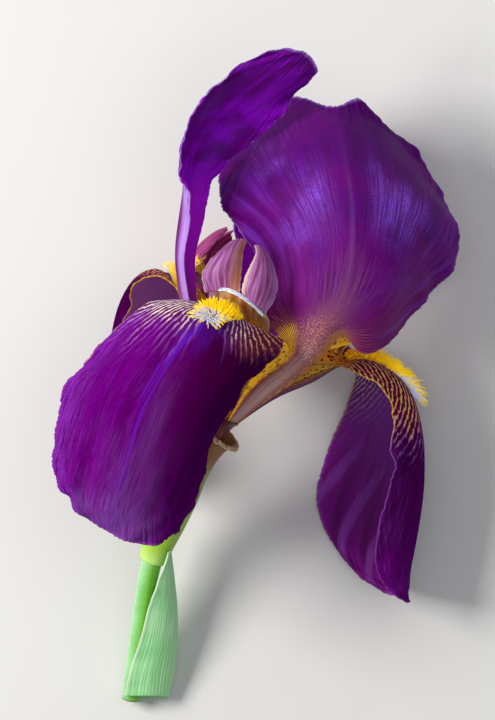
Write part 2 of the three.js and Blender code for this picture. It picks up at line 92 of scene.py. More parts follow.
def edit(piece, *steps):
    """Runs operators in edit mode, the first of them on the whole piece."""
    select_only(piece)
    bpy.ops.object.mode_set(mode="EDIT")
    bpy.ops.mesh.select_all(action="SELECT")
    for step in steps:
        step()
    bpy.ops.object.mode_set(mode="OBJECT")


def new_grid(name, along, across):
    """A flat grid, with each vertex's share of the way across (0 to 1) and along (0 to 1)."""
    bpy.ops.object.select_all(action="DESELECT")
    bpy.ops.mesh.primitive_grid_add(x_subdivisions=across, y_subdivisions=along, size=2)
    piece = bpy.context.object
    piece.name = piece.data.name = name
    places = np.zeros(len(piece.data.vertices) * 3)
    piece.data.vertices.foreach_get("co", places)
    x, y = places.reshape(-1, 3)[:, :2].T
    return piece, (y + 1) / 2, (x + 1) / 2


def put_vertices(piece, points_mm):
    piece.data.vertices.foreach_set("co", (points_mm * MM).ravel())
    piece.data.update()


def line_frames(line, shares, facing):
    """Points along a line with its direction there and two directions square to it, in millimetres."""
    centre = spline(line, shares)
    ahead = unit(spline(line, shares + 0.005) - spline(line, shares - 0.005))
    side = unit(np.cross(ahead, facing))
    return centre, ahead, side, np.cross(side, ahead)


def rolled(name, line, radius_at, along, around, ribs=0, rib_height=0.0):
    """A tube: a grid rolled round a line and welded along its seam, with closed ends."""
    piece, u, v = new_grid(name, along, around)
    centre, _, side, front = line_frames(line, u, (0, 0, 1))
    angle = 2 * pi * v
    radius = radius_at(u) + rib_height * np.cos(ribs * angle)
    sideways, forward = (radius * np.cos(angle))[:, None], (radius * np.sin(angle))[:, None]
    put_vertices(piece, centre + side * sideways + front * forward)
    edit(
        piece,
        lambda: bpy.ops.mesh.remove_doubles(threshold=0.02 * MM),
        lambda: bpy.ops.mesh.fill_holes(sides=0),
        lambda: bpy.ops.mesh.normals_make_consistent(inside=False),
    )
    return piece


class Field:
    """A value that varies over a surface, held in a shader socket. Its arithmetic makes Math nodes."""

    def __init__(self, tree, socket):
        self.tree = tree
        self.socket = socket

    def __add__(self, other):
        return maths("ADD", self, other)

    def __sub__(self, other):
        return maths("SUBTRACT", self, other)

    def __rsub__(self, other):
        return maths("SUBTRACT", other, self)

    def __mul__(self, other):
        return maths("MULTIPLY", self, other)

    def __rtruediv__(self, other):
        return maths("DIVIDE", other, self)

    def __pow__(self, power):
        return maths("POWER", self, power)

    def __abs__(self):
        return maths("ABSOLUTE", self)


def feed(socket, value):
    """Links a field to a node's input, or sets a plain value there."""
    if isinstance(value, Field):
        value.tree.links.new(value.socket, socket)
    else:
        socket.default_value = value


def new_node(tree, kind, inputs, settings):
    made = tree.nodes.new("ShaderNode" + kind)
    for key, value in settings.items():
        setattr(made, key, value)
    for key, value in inputs.items():
        feed(made.inputs[key], value)
    return made


def field(tree, kind, inputs=None, output=0, **settings):
    """What leaves one output of a new shader node."""
    return Field(tree, new_node(tree, kind, inputs or {}, settings).outputs[output])


def use(tree, effect, inputs=None):
    """Everything that leaves a node group placed in a material, by name."""
    placed = new_node(tree, "Group", inputs or {}, {"node_tree": effect})
    return {socket.name: Field(tree, socket) for socket in placed.outputs}


def tree_of(*values):
    return next(value.tree for value in values if isinstance(value, Field))


def maths(operation, *values):
    return field(tree_of(*values), "Math", dict(enumerate(values)), operation=operation)


def rise(value, low, high):
    """0 below low and 1 above high, with a smooth step between. High may be below low."""
    limits = {"Value": value, "From Min": low, "From Max": high}
    return field(value.tree, "MapRange", limits, interpolation_type="SMOOTHSTEP")


def mix(share, first, second):
    """The first colour where the share is 0, and the second where it is 1."""
    colours = {0: share, 6: first, 7: second}
    return field(tree_of(share, first, second), "Mix", colours, output=2, data_type="RGBA")


def layered(colour, *layers):
    """Lays tones over a colour, one after the other, each with the share of it that shows."""
    for share, tone in layers:
        colour = mix(share, colour, tone)
    return colour


def surface_coordinates(tree):
    """Across a piece's own map, along it, and how far from its middle line (0 to 1 at the rims)."""
    own_map = field(tree, "UVMap", uv_map="UVMap")
    across, along = (field(tree, "SeparateXYZ", {0: own_map}, output=axis) for axis in "XY")
    return across, along, abs(across * 2.0 - 1.0)


def speckle(tree, scale, stretch=(1, 1, 1), source="Object", detail=3.0):
    """Noise between 0 and 1 over the object, or over its own map when the source is UV."""
    if source == "UV":
        places = field(tree, "UVMap", uv_map="UVMap")
    else:
        places = field(tree, "TexCoord", output="Object")
    placed = field(tree, "Mapping", {"Vector": places, "Scale": stretch})
    return field(tree, "TexNoise", {"Vector": placed, "Scale": scale, "Detail": detail}, output="Fac")


def group(name, inputs, outputs):
    """An empty node group of numbers: its tree, the fields it is given and the sockets it gives."""
    tree = bpy.data.node_groups.new(name, "ShaderNodeTree")
    for label, default in inputs.items():
        entry = tree.interface.new_socket(label, in_out="INPUT", socket_type="NodeSocketFloat")
        entry.default_value = default
    for label in outputs:
        tree.interface.new_socket(label, in_out="OUTPUT", socket_type="NodeSocketFloat")
    given = {socket.name: Field(tree, socket) for socket in tree.nodes.new("NodeGroupInput").outputs}
    return tree, given, tree.nodes.new("NodeGroupOutput").inputs


def new_material(name):
    material = bpy.data.materials.new(name)
    material.use_nodes = True
    tree = material.node_tree
    return material, tree, tree.nodes["Principled BSDF"]


def finish_surface(tree, shader, colour, roughness, height=None, depth_mm=0.1, **constants):
    """Feeds the shader, and sets the values that are the same all over on its own sockets."""
    feed(shader.inputs["Base Color"], colour)
    feed(shader.inputs["Roughness"], roughness)
    if height is not None:
        bump = field(tree, "Bump", {"Height": height, "Distance": depth_mm * MM})
        feed(shader.inputs["Normal"], bump)
    for key, value in constants.items():
        shader.inputs[key.replace("_", " ")].default_value = value


def finish_piece(piece, node, slot, *materials):
    """Gives a piece its materials, smooth shading, and its place in the model."""
    for material in materials:
        piece.data.materials.append(material)
    select_only(piece)
    bpy.ops.object.shade_smooth()
    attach(piece, "root")
    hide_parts(node)


# Fine cells and soft blotches that all living tissue shows: a tone from 0 to 1 and a height.
tissue, given, given_out = group("living tissue", {"Cell size mm": 0.3}, ["Tone", "Height"])
cell_scale = 1 / MM / given["Cell size mm"]
object_places = field(tissue, "TexCoord", output="Object")
cells = field(tissue, "TexVoronoi", {"Vector": object_places, "Scale": cell_scale}, output="Distance")
blotches = field(tissue, "TexNoise", {"Vector": object_places, "Scale": 90.0, "Detail": 4.0}, output="Fac")
feed(given_out["Tone"], blotches)
feed(given_out["Height"], cells)

# Uneven parallel ribs along a part's own map, as a count across it: 1 on a rib and 0 between.
ribbing, given, given_out = group("parallel ribs", {"Count": 20.0, "Unevenness": 0.3}, ["Rib"])
across, _, _ = surface_coordinates(ribbing)
drift = speckle(ribbing, 6.0, (1, 0.4, 1), "UV") * given["Unevenness"]
turns = (drift * 0.05 + across) * given["Count"] * (2 * pi)
feed(given_out["Rib"], maths("SINE", turns) * 0.5 + 0.5)

STEM_RADIUS = 3.3
STEM_SWELL = 0.25  # how much wider it gets under the bloom, from this share of its length up
SWELL_FROM = 0.85
CUT_END = (-41.8, -107, 5.2)
STEM_TOP = (-31.8, -52.0, 27.7)
STEM_LINE = [CUT_END, (-38.6, -83, 14.5), (-35.6, -64, 22.3), STEM_TOP]
FRESH_GREEN = srgb(138, 204, 120)
PALE_GREEN = srgb(158, 222, 150)
DEEP_GREEN = srgb(104, 176, 84)
YOUNG_GREEN = srgb(116, 192, 46)
LIME_GREEN = srgb(174, 230, 88)
BLOOM_AND_HIGHLIGHT_GREEN = srgb(206, 246, 214)

stem_green, tree, shader = new_material("stem green")
cells = use(tree, tissue, {"Cell size mm": 0.35})
ribs = use(tree, ribbing, {"Count": 40.0, "Unevenness": 0.9})["Rib"]
round_stem, up_stem, _ = surface_coordinates(tree)
# Around the stem one side is frosted pale and the other yellow-green: partly its waxy bloom and partly
# painted light, with a painted highlight on the lit edge
bloom_and_painted_light = maths("COSINE", round_stem * (2 * pi)) + speckle(tree, 900.0, detail=2.0) * 0.5
colour = layered(
    FRESH_GREEN,
    (rise(cells["Tone"], 0.35, 0.7), PALE_GREEN),
    (rise(bloom_and_painted_light, -0.3, 0.4) * 0.95, YOUNG_GREEN),
    (rise(bloom_and_painted_light, -0.45, -0.75) * 0.6, BLOOM_AND_HIGHLIGHT_GREEN),
    (rise(up_stem, 0.75, 1.0) * 0.8, LIME_GREEN),
    (ribs * 0.35, DEEP_GREEN),
)
finish_surface(tree, shader, colour, rise(cells["Tone"], -0.6, 2.0), ribs, 0.03,
               Coat_Weight=0.1, Coat_Roughness=0.4)


def stem_radius(u):
    return STEM_RADIUS + STEM_SWELL * np.clip(u - SWELL_FROM, 0, 1) / (1 - SWELL_FROM)


stem = rolled("stem", STEM_LINE, stem_radius, 60, 48, ribs=9, rib_height=0.05)
finish_piece(stem, "stem", "green_stem", stem_green)

# The cut face, where the knife left wet pith with vessel ends in it, a little below the green rind
RIND = 0.35
PITH_SHRINK = 0.12
PITH = srgb(214, 228, 170)
VESSEL = srgb(140, 176, 84)
cut_pith, tree, shader = new_material("cut pith")
places = field(tree, "TexCoord", output="Object")
vessels = field(tree, "TexVoronoi", {"Vector": places, "Scale": 1400.0}, output="Distance")
colour = mix(rise(vessels, 0.32, 0.12), PITH, VESSEL)
finish_surface(tree, shader, colour, rise(speckle(tree, 500.0), -0.3, 1.4), vessels, 0.15)
stem.data.materials.append(cut_pith)
select_only(stem)
bpy.ops.object.mode_set(mode="EDIT")
bpy.ops.mesh.select_mode(type="FACE")
bpy.ops.mesh.select_all(action="DESELECT")
bpy.ops.object.mode_set(mode="OBJECT")
end_direction = unit(np.array(STEM_LINE[0], float) - np.array(STEM_LINE[1], float))
for face in stem.data.polygons:
    near_end = (face.center - Vector(CUT_END) * MM).length < 1 * MM
    face.select = near_end and abs(face.normal.dot(Vector(end_direction))) > 0.9
bpy.ops.object.mode_set(mode="EDIT")
stem.active_material_index = 1
bpy.ops.object.material_slot_assign()
bpy.ops.mesh.inset(thickness=RIND * MM, depth=-PITH_SHRINK * MM)
bpy.ops.object.mode_set(mode="OBJECT")


# The lower leaf: a keeled bract that clasps the stem, thin and bluish green under a waxy bloom,
# with parallel veins and a thin papery rim. It was cut across together with the stem.
SKIN_ROWS = 240
SKIN_COLUMNS = 120


def read_between(grid, u, v):
    """The values of a grid of points, read at shares of its rows (u) and of its columns (v)."""
    rows, columns = grid.shape[0] - 1, grid.shape[1] - 1
    a, b = np.clip(u, 0, 1) * rows, np.clip(v, 0, 1) * columns
    i, j = np.minimum(a.astype(int), rows - 1), np.minimum(b.astype(int), columns - 1)
    s, t = (a - i)[:, None], (b - j)[:, None]
    near = grid[i, j] * (1 - t) + grid[i, j + 1] * t
    far = grid[i + 1, j] * (1 - t) + grid[i + 1, j + 1] * t
    return near * (1 - s) + far * s


class Skin:
    """The middle surface of a thin organ, through rows of points that cross it from foot to tip."""

    def __init__(self, rows, soften=0):
        rails = spline(rows, np.linspace(0, 1, SKIN_ROWS + 1)).transpose(1, 0, 2)
        points = spline(rails, np.linspace(0, 1, SKIN_COLUMNS + 1)).transpose(1, 0, 2)
        for _ in range(soften):
            points[1:-1] = (points[:-2] + 2 * points[1:-1] + points[2:]) / 4
            points[:, 1:-1] = (points[:, :-2] + 2 * points[:, 1:-1] + points[:, 2:]) / 4
        self.points = points
        self.normals = unit(np.cross(np.gradient(points, axis=0), np.gradient(points, axis=1)))

    def normals_at(self, u, v):
        return unit(read_between(self.normals, u, v))

    def at(self, u, v, lift=0.0):
        """Points of the skin, lifted off it by a distance."""
        return read_between(self.points, u, v) + self.normals_at(u, v) * np.reshape(lift, (-1, 1))


def thickened(piece, thickness, materials=2):
    """Solidify to both sides, with the second material on the side that faced away from the axis."""
    edit(piece, bpy.ops.mesh.flip_normals)
    select_only(piece)
    bpy.ops.object.modifier_add(type="SOLIDIFY")
    wall = piece.modifiers[-1]
    wall.thickness = thickness * MM
    wall.offset = 0
    wall.material_offset = materials - 1
    bpy.ops.object.modifier_apply(modifier=wall.name)


LEAF_ROWS = [
    [(-43, -107, 0.5), (-36, -107, 0.9), (-29.5, -106.5, 5), (-35, -106, 10), (-44, -106, 10.5)],
    [(-41.5, -97, 3.9), (-35.5, -97, 4.5), (-27.6, -96.4, 8.6), (-34, -97, 13.5), (-42.4, -98, 14.2)],
    [(-38.5, -86.5, 8.2), (-33.5, -86.5, 8.6), (-26.7, -86.5, 12.6), (-31.5, -86.5, 17.4),
     (-38.6, -86.5, 19)],
    [(-36, -76.6, 12.4), (-32, -76.6, 12.8), (-26.7, -76.6, 16.8), (-30, -76.6, 21.6), (-36, -76.6, 23.8)],
    [(-31.6, -68, 19.5), (-29.6, -68, 20), (-27.6, -66.7, 22.6), (-29.6, -67.5, 25.6), (-33, -68.3, 27.4)],
    [(-29.2, -58.5, 29.6), (-29, -58.2, 29.8), (-28.7, -57.5, 30.2), (-28.9, -57.8, 30.6),
     (-29.2, -58, 31)],
]
LEAF_WALL = 0.7
LEAF_GREEN = srgb(150, 224, 146)
LEAF_PALE = srgb(174, 236, 168)
LEAF_DEEP = srgb(108, 192, 108)
LEAF_FROST = srgb(198, 246, 200)
LEAF_RIM = srgb(208, 226, 196)

leaf_blade, tree, shader = new_material("leaf blade")
cells = use(tree, tissue, {"Cell size mm": 0.3})
ribs = use(tree, ribbing, {"Count": 30.0, "Unevenness": 1.6})["Rib"]
streaks = speckle(tree, 1.0, (70, 3, 1), "UV", 4.0)
_, _, from_middle = surface_coordinates(tree)
colour = layered(
    LEAF_GREEN,
    (rise(cells["Tone"], 0.3, 0.7), LEAF_PALE),
    (ribs * 0.4, LEAF_DEEP),
    (rise(streaks, 0.48, 0.66) * 0.7, LEAF_FROST),
    (rise(from_middle, 0.05, 0.0) * 0.5, LEAF_PALE),
    (rise(from_middle, 0.94, 1.0), LEAF_RIM),
)
finish_surface(tree, shader, colour, rise(cells["Tone"], -0.5, 1.8), ribs, 0.04,
               Coat_Weight=0.1, Coat_Roughness=0.45)

leaf, u, v = new_grid("lower_leaf", 90, 60)
wave = 0.25 * ripple(u, 5, 11) * np.abs(2 * v - 1) ** 3
put_vertices(leaf, Skin(LEAF_ROWS, soften=6).at(u, v, wave))
thickened(leaf, LEAF_WALL, materials=1)
finish_piece(leaf, "lower_leaf", "leaf", leaf_blade)


# The perianth tube and the ovary below it: one fleshy piece, green where the bracts cover it and
# flushed maroon where it opens into the six petals. Six faint ribs run up it, one for each petal.
LEAN = radians(23)
AXIS_UP = np.array((sin(LEAN), cos(LEAN), 0))
AXIS_RIGHT = np.array((cos(LEAN), -sin(LEAN), 0))
AXIS_FRONT = np.array((0, 0, 1))
BLOOM_BASE = np.array((-11, -13.5, 45.5))
STALK_BEND = (-31.5, -51.5, 28)
OVARY_LINE = [(-27, -41, 33.5), (-23.2, -32, 38), (-18.3, -24.2, 42.6)]
TUBE_LINE = [STALK_BEND, *OVARY_LINE, BLOOM_BASE - 5 * AXIS_UP, BLOOM_BASE]
TUBE_RADIUS = 3
OVARY_SWELL = 0.9
RIM_FLARE = 2.4
OVARY_SHARE = 0.5
FLARE_SHARE = 0.18
FLUSH = srgb(108, 36, 40)
TUBE_BROWN = srgb(156, 96, 62)
TUBE_GREEN = srgb(150, 160, 70)


def tube_radius(u):
    swell = OVARY_SWELL * np.sin(pi * np.minimum(u / OVARY_SHARE, 1))
    flare = RIM_FLARE * (np.maximum(u - 1 + FLARE_SHARE, 0) / FLARE_SHARE) ** 2
    return TUBE_RADIUS + swell + flare


tube_skin, tree, shader = new_material("tube skin")
cells = use(tree, tissue, {"Cell size mm": 0.3})
ribs = use(tree, ribbing, {"Count": 18.0, "Unevenness": 0.8})["Rib"]
_, up_tube, _ = surface_coordinates(tree)
colour = layered(
    TUBE_GREEN,
    (rise(up_tube, 0.45, 0.7), TUBE_BROWN),
    (rise(cells["Tone"] * 0.3 + up_tube, 0.8, 1.05), FLUSH),
    (ribs * 0.4, FLUSH),
)
finish_surface(tree, shader, colour, rise(cells["Tone"], -0.5, 1.7), ribs, 0.15,
               Coat_Weight=0.2, Coat_Roughness=0.35)
tube = rolled("perianth_tube", TUBE_LINE, tube_radius, 80, 60, ribs=6, rib_height=0.12)
finish_piece(tube, "perianth_tube", "perianth_tube", tube_skin)


# The spathes: two bracts that wrapped the bud. Fresh green at the foot, they dry to tan paper at the
# tips, which curl and crumple round the tube.
SPATHE_LINE = [(-34.8, -60.2, 24), STALK_BEND, *OVARY_LINE, BLOOM_BASE - 4 * AXIS_UP]
# Each station is how far along the line it lies, its radius, and half the angle that it wraps
OUTER_STATIONS = [
    (0, 4.4, 160), (0.12, 5.2, 156), (0.27, 6.1, 150), (0.45, 6.6, 137), (0.63, 6.3, 126), (0.8, 5.9, 118),
    (0.91, 6.1, 112), (0.98, 7.2, 104), (0.985, 8.4, 98), (0.965, 9, 92),
]
INNER_STATIONS = [
    (0.27, 4.6, 150), (0.45, 5.2, 135), (0.63, 4.9, 115), (0.77, 4.6, 85), (0.89, 5, 50), (0.95, 5.6, 20),
]
SPATHE_WALL = 0.45
CRUMPLE = 3.4
DRY_FROM = 0.45
SPATHE_GREEN = srgb(164, 210, 50)
SPATHE_FOOT = srgb(206, 244, 140)
SPATHE_DEEP = srgb(104, 150, 40)
PAPER = srgb(240, 212, 168)
PAPER_BROWN = srgb(150, 100, 44)


def wrap_rows(stations, bearing):
    rows = []
    for share, radius, half_angle in stations:
        centre, _, side, front = line_frames(SPATHE_LINE, np.array([share]), AXIS_FRONT)
        angle = np.radians(bearing + half_angle * np.linspace(-1, 1, 9))[:, None]
        rows.append(centre + radius * (front * np.cos(angle) + side * np.sin(angle)))
    return np.array(rows)


def spathe_material(name, dry_from, dry_to):
    """Green bract tissue that dries to paper between two shares of its length."""
    material, tree, shader = new_material(name)
    cells = use(tree, tissue, {"Cell size mm": 0.35})
    ribs = use(tree, ribbing, {"Count": 30.0, "Unevenness": 0.6})["Rib"]
    _, along, _ = surface_coordinates(tree)
    drying = rise(cells["Tone"] * 0.35 + along, dry_from, dry_to)
    green = layered(SPATHE_GREEN, (ribs * 0.2, SPATHE_DEEP), (rise(along, 0.14, 0.0) * 0.7, SPATHE_FOOT))
    streaks = speckle(tree, 14.0, (2.5, 0.5, 1), "UV", 5.0)
    browned = maths("MAXIMUM", rise(streaks, 0.45, 0.75), rise(along, 0.92, 0.8))
    paper = layered(PAPER, (browned, PAPER_BROWN), (ribs * 0.3, PAPER_BROWN))
    finish_surface(tree, shader, mix(drying, green, paper), rise(streaks, -0.6, 1.6), ribs, 0.06,
                   Coat_Weight=0.1, Coat_Roughness=0.4)
    return material


def spathe(name, stations, material, bearing, seed):
    """A bract wrapped round the tube, ragged at its tip and crumpled where it is dry."""
    piece, u, v = new_grid(name, 110, 80)
    ragged = 0.05 * ripple(v, 7, seed) * u**6
    crumple = ripple(u + 0.3 * v, 12, seed + 1) * ripple(v, 8, seed + 2)
    crumple = CRUMPLE * crumple * np.clip(u - DRY_FROM, 0, 1) ** 2
    skin = Skin(wrap_rows(stations, bearing), soften=4)
    put_vertices(piece, skin.at(np.clip(u - np.abs(ragged), 0, 1), v, crumple))
    thickened(piece, SPATHE_WALL, materials=1)
    finish_piece(piece, name, "spathe", material)


outer_skin = spathe_material("outer spathe skin", dry_from=0.4, dry_to=0.8)
inner_skin = spathe_material("inner spathe skin", dry_from=0.45, dry_to=0.8)
spathe("outer_spathe", OUTER_STATIONS, outer_skin, bearing=95, seed=21)
spathe("inner_spathe", INNER_STATIONS, inner_skin, bearing=-80, seed=31)


# The falls: the three outer petals. Each rises as a channelled claw, spreads into the striped haft,
# arches over and hangs as a velvety blade with a blue-violet line down its middle and a finely cut rim.

# Streaks that follow the veins as they fan out from the claw: forking lines, broad bands, fine striae
# and still finer fibres
veining, given, given_out = group(
    "petal veins", {"Count": 20.0, "Wander": 0.03, "Fan": 0.5, "Forks at": 0.5},
    ["Line", "Band", "Striae", "Fibre"])
across, along, _ = surface_coordinates(veining)
drift = speckle(veining, 4.0, (1.6, 1.0, 1), "UV", 4.0) - 0.5
fanned = (across - 0.5) * ((1.0 - along) * given["Fan"] + 1.0)
wandering = drift * given["Wander"] + fanned
turns = wandering * given["Count"] * (2 * pi)
coarse = maths("COSINE", turns) * 0.5 + 0.5
fine = maths("COSINE", turns * 2.0) * 0.5 + 0.5
forked = rise(along - given["Forks at"], -0.15, 0.15)
lines = field(veining, "Mix", {0: forked, 2: coarse, 3: fine}, data_type="FLOAT")
feed(given_out["Line"], lines ** 6.0)
streamed = field(veining, "CombineXYZ", {0: wandering, 1: along})
STREAK_SCALES = {"Band": (11.0, 1.6, 1.0), "Striae": (75.0, 5.0, 1.0), "Fibre": (150.0, 15.0, 1.0)}
for label, scale in STREAK_SCALES.items():
    placed = field(veining, "Mapping", {"Vector": streamed, "Scale": scale})
    streaks = field(veining, "TexNoise", {"Vector": placed, "Scale": 1.0, "Detail": 4.0}, output="Fac")
    feed(given_out[label], streaks)

# Thin lines over the haft, and how near the throat a place is (1 beside it, 0 beyond the reach). They
# spray out from under the beard where Slant is 0, and cross from the beard to the rim where it is 1.
spraying, given, given_out = group(
    "haft stripes", {"Count": 70.0, "Sparser": 0.0, "Wander": 0.16, "Slant": 0.0, "Reach": 0.3},
    ["Stripe", "Near"])
THROAT = 0.27  # how far up a fall the throat lies, and half the haft's width, as shares of its length
HAFT_WIDTH = 0.16
across, along, from_middle = surface_coordinates(spraying)
outward = along - THROAT
sideways = maths("MAXIMUM", from_middle, 0.001) ** 1.5 * 0.42
spray_angle = maths("ARCTAN2", outward, sideways)
crossing = (along - from_middle * HAFT_WIDTH) * 4.6
which_line = field(spraying, "Mix", {0: given["Slant"], 2: spray_angle, 3: crossing}, data_type="FLOAT")
drift = speckle(spraying, 10.0, (2.2, 1.8, 1), "UV", 2.0) - 0.5
sparser = rise(across, 0.45, 0.55) * given["Sparser"] + 1.0
turns = (drift * given["Wander"] + which_line) * given["Count"] * sparser
stripe = maths("SINE", turns) * 0.5 + 0.5
breaks = speckle(spraying, 24.0, (2.4, 1.6, 1), "UV", 2.0)
thinner = sparser * 0.25 + breaks * 1.3 - 0.66
feed(given_out["Stripe"], rise(stripe + thinner, 0.86, 1.2))
distance = maths("SQRT", outward ** 2.0 + (from_middle * HAFT_WIDTH) ** 2.0)
ragged = speckle(spraying, 6.0, (2.5, 1.0, 1), "UV", 4.0) * 0.16 - 0.08
shorter = (1.0 - sparser) * 0.1
feed(given_out["Near"], rise(distance + ragged + shorter - given["Reach"], 0.05, -0.17))

# Small uneven dots over the claws, with a count across and a count along
dotting, given, given_out = group("claw dots", {"Across": 16.0, "Along": 80.0}, ["Dot"])
across, along, _ = surface_coordinates(dotting)
placed = field(dotting, "CombineXYZ", {0: across * given["Across"], 1: along * given["Along"]})
cells = field(dotting, "TexVoronoi", {"Vector": placed, "Scale": 1.0, "Randomness": 0.7}, output="Distance")
feed(given_out["Dot"], rise(cells, 0.46, 0.3))

PETAL_WALL = 0.45
PETAL_FACES = (240, 140)  # along and across
PETAL_SOFTENING = 30
SHEEN_BLUE = (0.32, 0.04, 1, 1)
FOLD_RATE = 45.0
FOLD_START = -6.1
CLAW_GAP = 0.05
CLAW_HALF_ANGLE = 25
FALL_VIOLET = srgb(110, 0, 128)
FALL_DEEP = srgb(82, 0, 94)
FALL_BLUE = srgb(94, 30, 196)
FALL_GREY = srgb(124, 80, 164)
FALL_MAROON = srgb(52, 0, 34)
FALL_FIBRES_AND_PAINTED_SHEEN = srgb(152, 54, 196)
FALL_UNDER = srgb(100, 4, 100)
FALL_UNDER_PALE = srgb(134, 22, 148)
DUSK = srgb(176, 56, 184)
DUSK_PALE = srgb(214, 124, 222)
UNDER_PAINTED_SHEEN = srgb(150, 72, 184)
DUSK_PAINTED_SHEEN = srgb(226, 140, 232)
KEEL_PURPLE = srgb(132, 66, 116)
RIM_PALE = srgb(168, 84, 190)
CREAM = srgb(255, 248, 240)
ICE = srgb(178, 116, 206)
GOLD = srgb(246, 192, 44)
TAN = srgb(222, 176, 112)
ROSE_BROWN = srgb(104, 32, 58)
HAFT_GOLD = srgb(232, 190, 120)
HAFT_RED = srgb(112, 12, 34)
GOLD_BROWN = srgb(150, 98, 34)
MAROON = srgb(92, 12, 36)


def at_rim(from_middle, along, sides_from, tip_from):
    return maths("MAXIMUM", rise(from_middle, sides_from, 1.0), rise(along, tip_from, 1.0))


def velvet(tree, own_map, cells, veins, painted_shade_from, greyness):
    """Dark velvet under painted shade, with pale fibres and painted sheen at one side, a blue midline and
    grey streaks low down.
    """
    across, along, _ = own_map
    fibres = veins["Fibre"]
    # Painted shade: maroon beyond a share of the way across, strongest near the haft; on the side and back
    # falls it covers the whole width
    painted_shade = rise(across, painted_shade_from, painted_shade_from + 0.32) * rise(along, 1.1, 0.5)
    # The line bends with the blade and frays into the veins beside it
    from_line = across * 2.0 - 1.0 + rise(along, 0.36, 0.62) * 0.27
    frayed = abs(from_line) + (veins["Striae"] - 0.5) * 0.35
    blue = rise(frayed, 0.06, -0.02) * rise(along, 0.38, 0.5) * rise(along, 1.1, 0.45)
    beside = rise(abs(from_line - 0.14), 0.16, 0.02) * rise(along, 0.5, 0.75) * 0.35
    lower = rise(along, 0.68, 1.0) * rise(across, 0.85, 0.5)
    grey = maths("MAXIMUM", lower, beside) * rise(speckle(tree, 40.0, detail=4.0), 0.4, 0.62)
    return layered(
        FALL_DEEP,
        (rise(veins["Band"], 0.34, 0.68), FALL_VIOLET),
        (rise(veins["Striae"], 0.5, 0.62) * 0.25, FALL_DEEP),
        (rise(fibres, 0.45, 0.65) * 0.3, FALL_MAROON),
        (painted_shade * 0.95, FALL_MAROON),
        # Pale violet over the left half and along its rim: partly the velvet's own fibres, partly painted
        # sheen where the light grazes that side
        (rise(fibres, 0.5, 0.66) * rise(across, 0.5, 0.3) * 0.2, FALL_FIBRES_AND_PAINTED_SHEEN),
        (rise(fibres, 0.3, 0.6) * rise(across, 0.16, 0.0) * greyness, FALL_FIBRES_AND_PAINTED_SHEEN),
        (cells["Height"] * 0.3, FALL_DEEP),
        (rise(speckle(tree, 1500.0, detail=2.0), 0.45, 0.65) * 0.3, FALL_MAROON),
        (blue * 0.55, FALL_BLUE),
        (grey * rise(fibres, 0.2, 0.7) * greyness, FALL_GREY),
    )


def fall_face_material(name, stripes, slant, reach, painted_shade_from, greyness, ground_tone, near_line, far_line):
    """Velvet with painted shade beyond a share of the way across, a spray of lines and a dotted claw."""
    material, tree, shader = new_material(name)
    own_map = surface_coordinates(tree)
    across, along, from_middle = own_map
    cells = use(tree, tissue, {"Cell size mm": 0.3})
    veins = use(tree, veining, {"Count": 26.0, "Wander": 0.06, "Forks at": 0.6})
    # The haft: a reddish ground under a bluish mist, and pale lines that turn icy out on the blade
    shape = {"Sparser": 0.25 * (slant - 1), "Wander": 0.11 + 0.05 * slant, "Slant": slant}
    spray = use(tree, spraying, {"Count": stripes, "Reach": reach, **shape})
    near = spray["Near"]
    ground = rise(rise(across, 0.5, 0.8) * 0.5 + near, 0.3, 0.9) * rise(near, 0.0, 0.4)
    misty = rise(near, 0.1, 0.6) * rise(from_middle, 0.5, 0.1)
    line_tone = layered(ICE, (rise(near, 0.35, 0.9), near_line), (rise(across, 0.58, 0.85), far_line))
    shown = spray["Stripe"] * rise(near, 0.0, 0.85) * rise(from_middle, 0.0, 0.5)
    # The claw: golden, with rows of maroon dots that close up towards its rims
    dots = use(tree, dotting, {"Across": 14.0, "Along": 75.0})["Dot"]
    claw = layered(GOLD, (dots, MAROON), (rise(from_middle, 0.85, 1.0) * 0.4, MAROON))
    colour = layered(
        velvet(tree, own_map, cells, veins, painted_shade_from, greyness),
        (ground * rise(from_middle, 0.0, 0.45) * 0.9, ground_tone),
        (misty * (0.3 * greyness), FALL_BLUE),
        (shown * 0.95, line_tone),
        (at_rim(from_middle, along, 0.985, 0.99) * 0.45, mix(rise(along, 0.56, 0.66), GOLD, RIM_PALE)),
        (rise(veins["Striae"] * 0.12 + along, 0.4, 0.32), claw),
    )
    finish_surface(tree, shader, colour, rise(cells["Tone"], -0.9, 1.5), cells["Height"], 0.1,
                   Sheen_Weight=0.08, Sheen_Roughness=0.45, Sheen_Tint=SHEEN_BLUE, Specular_IOR_Level=0.0)
    return material


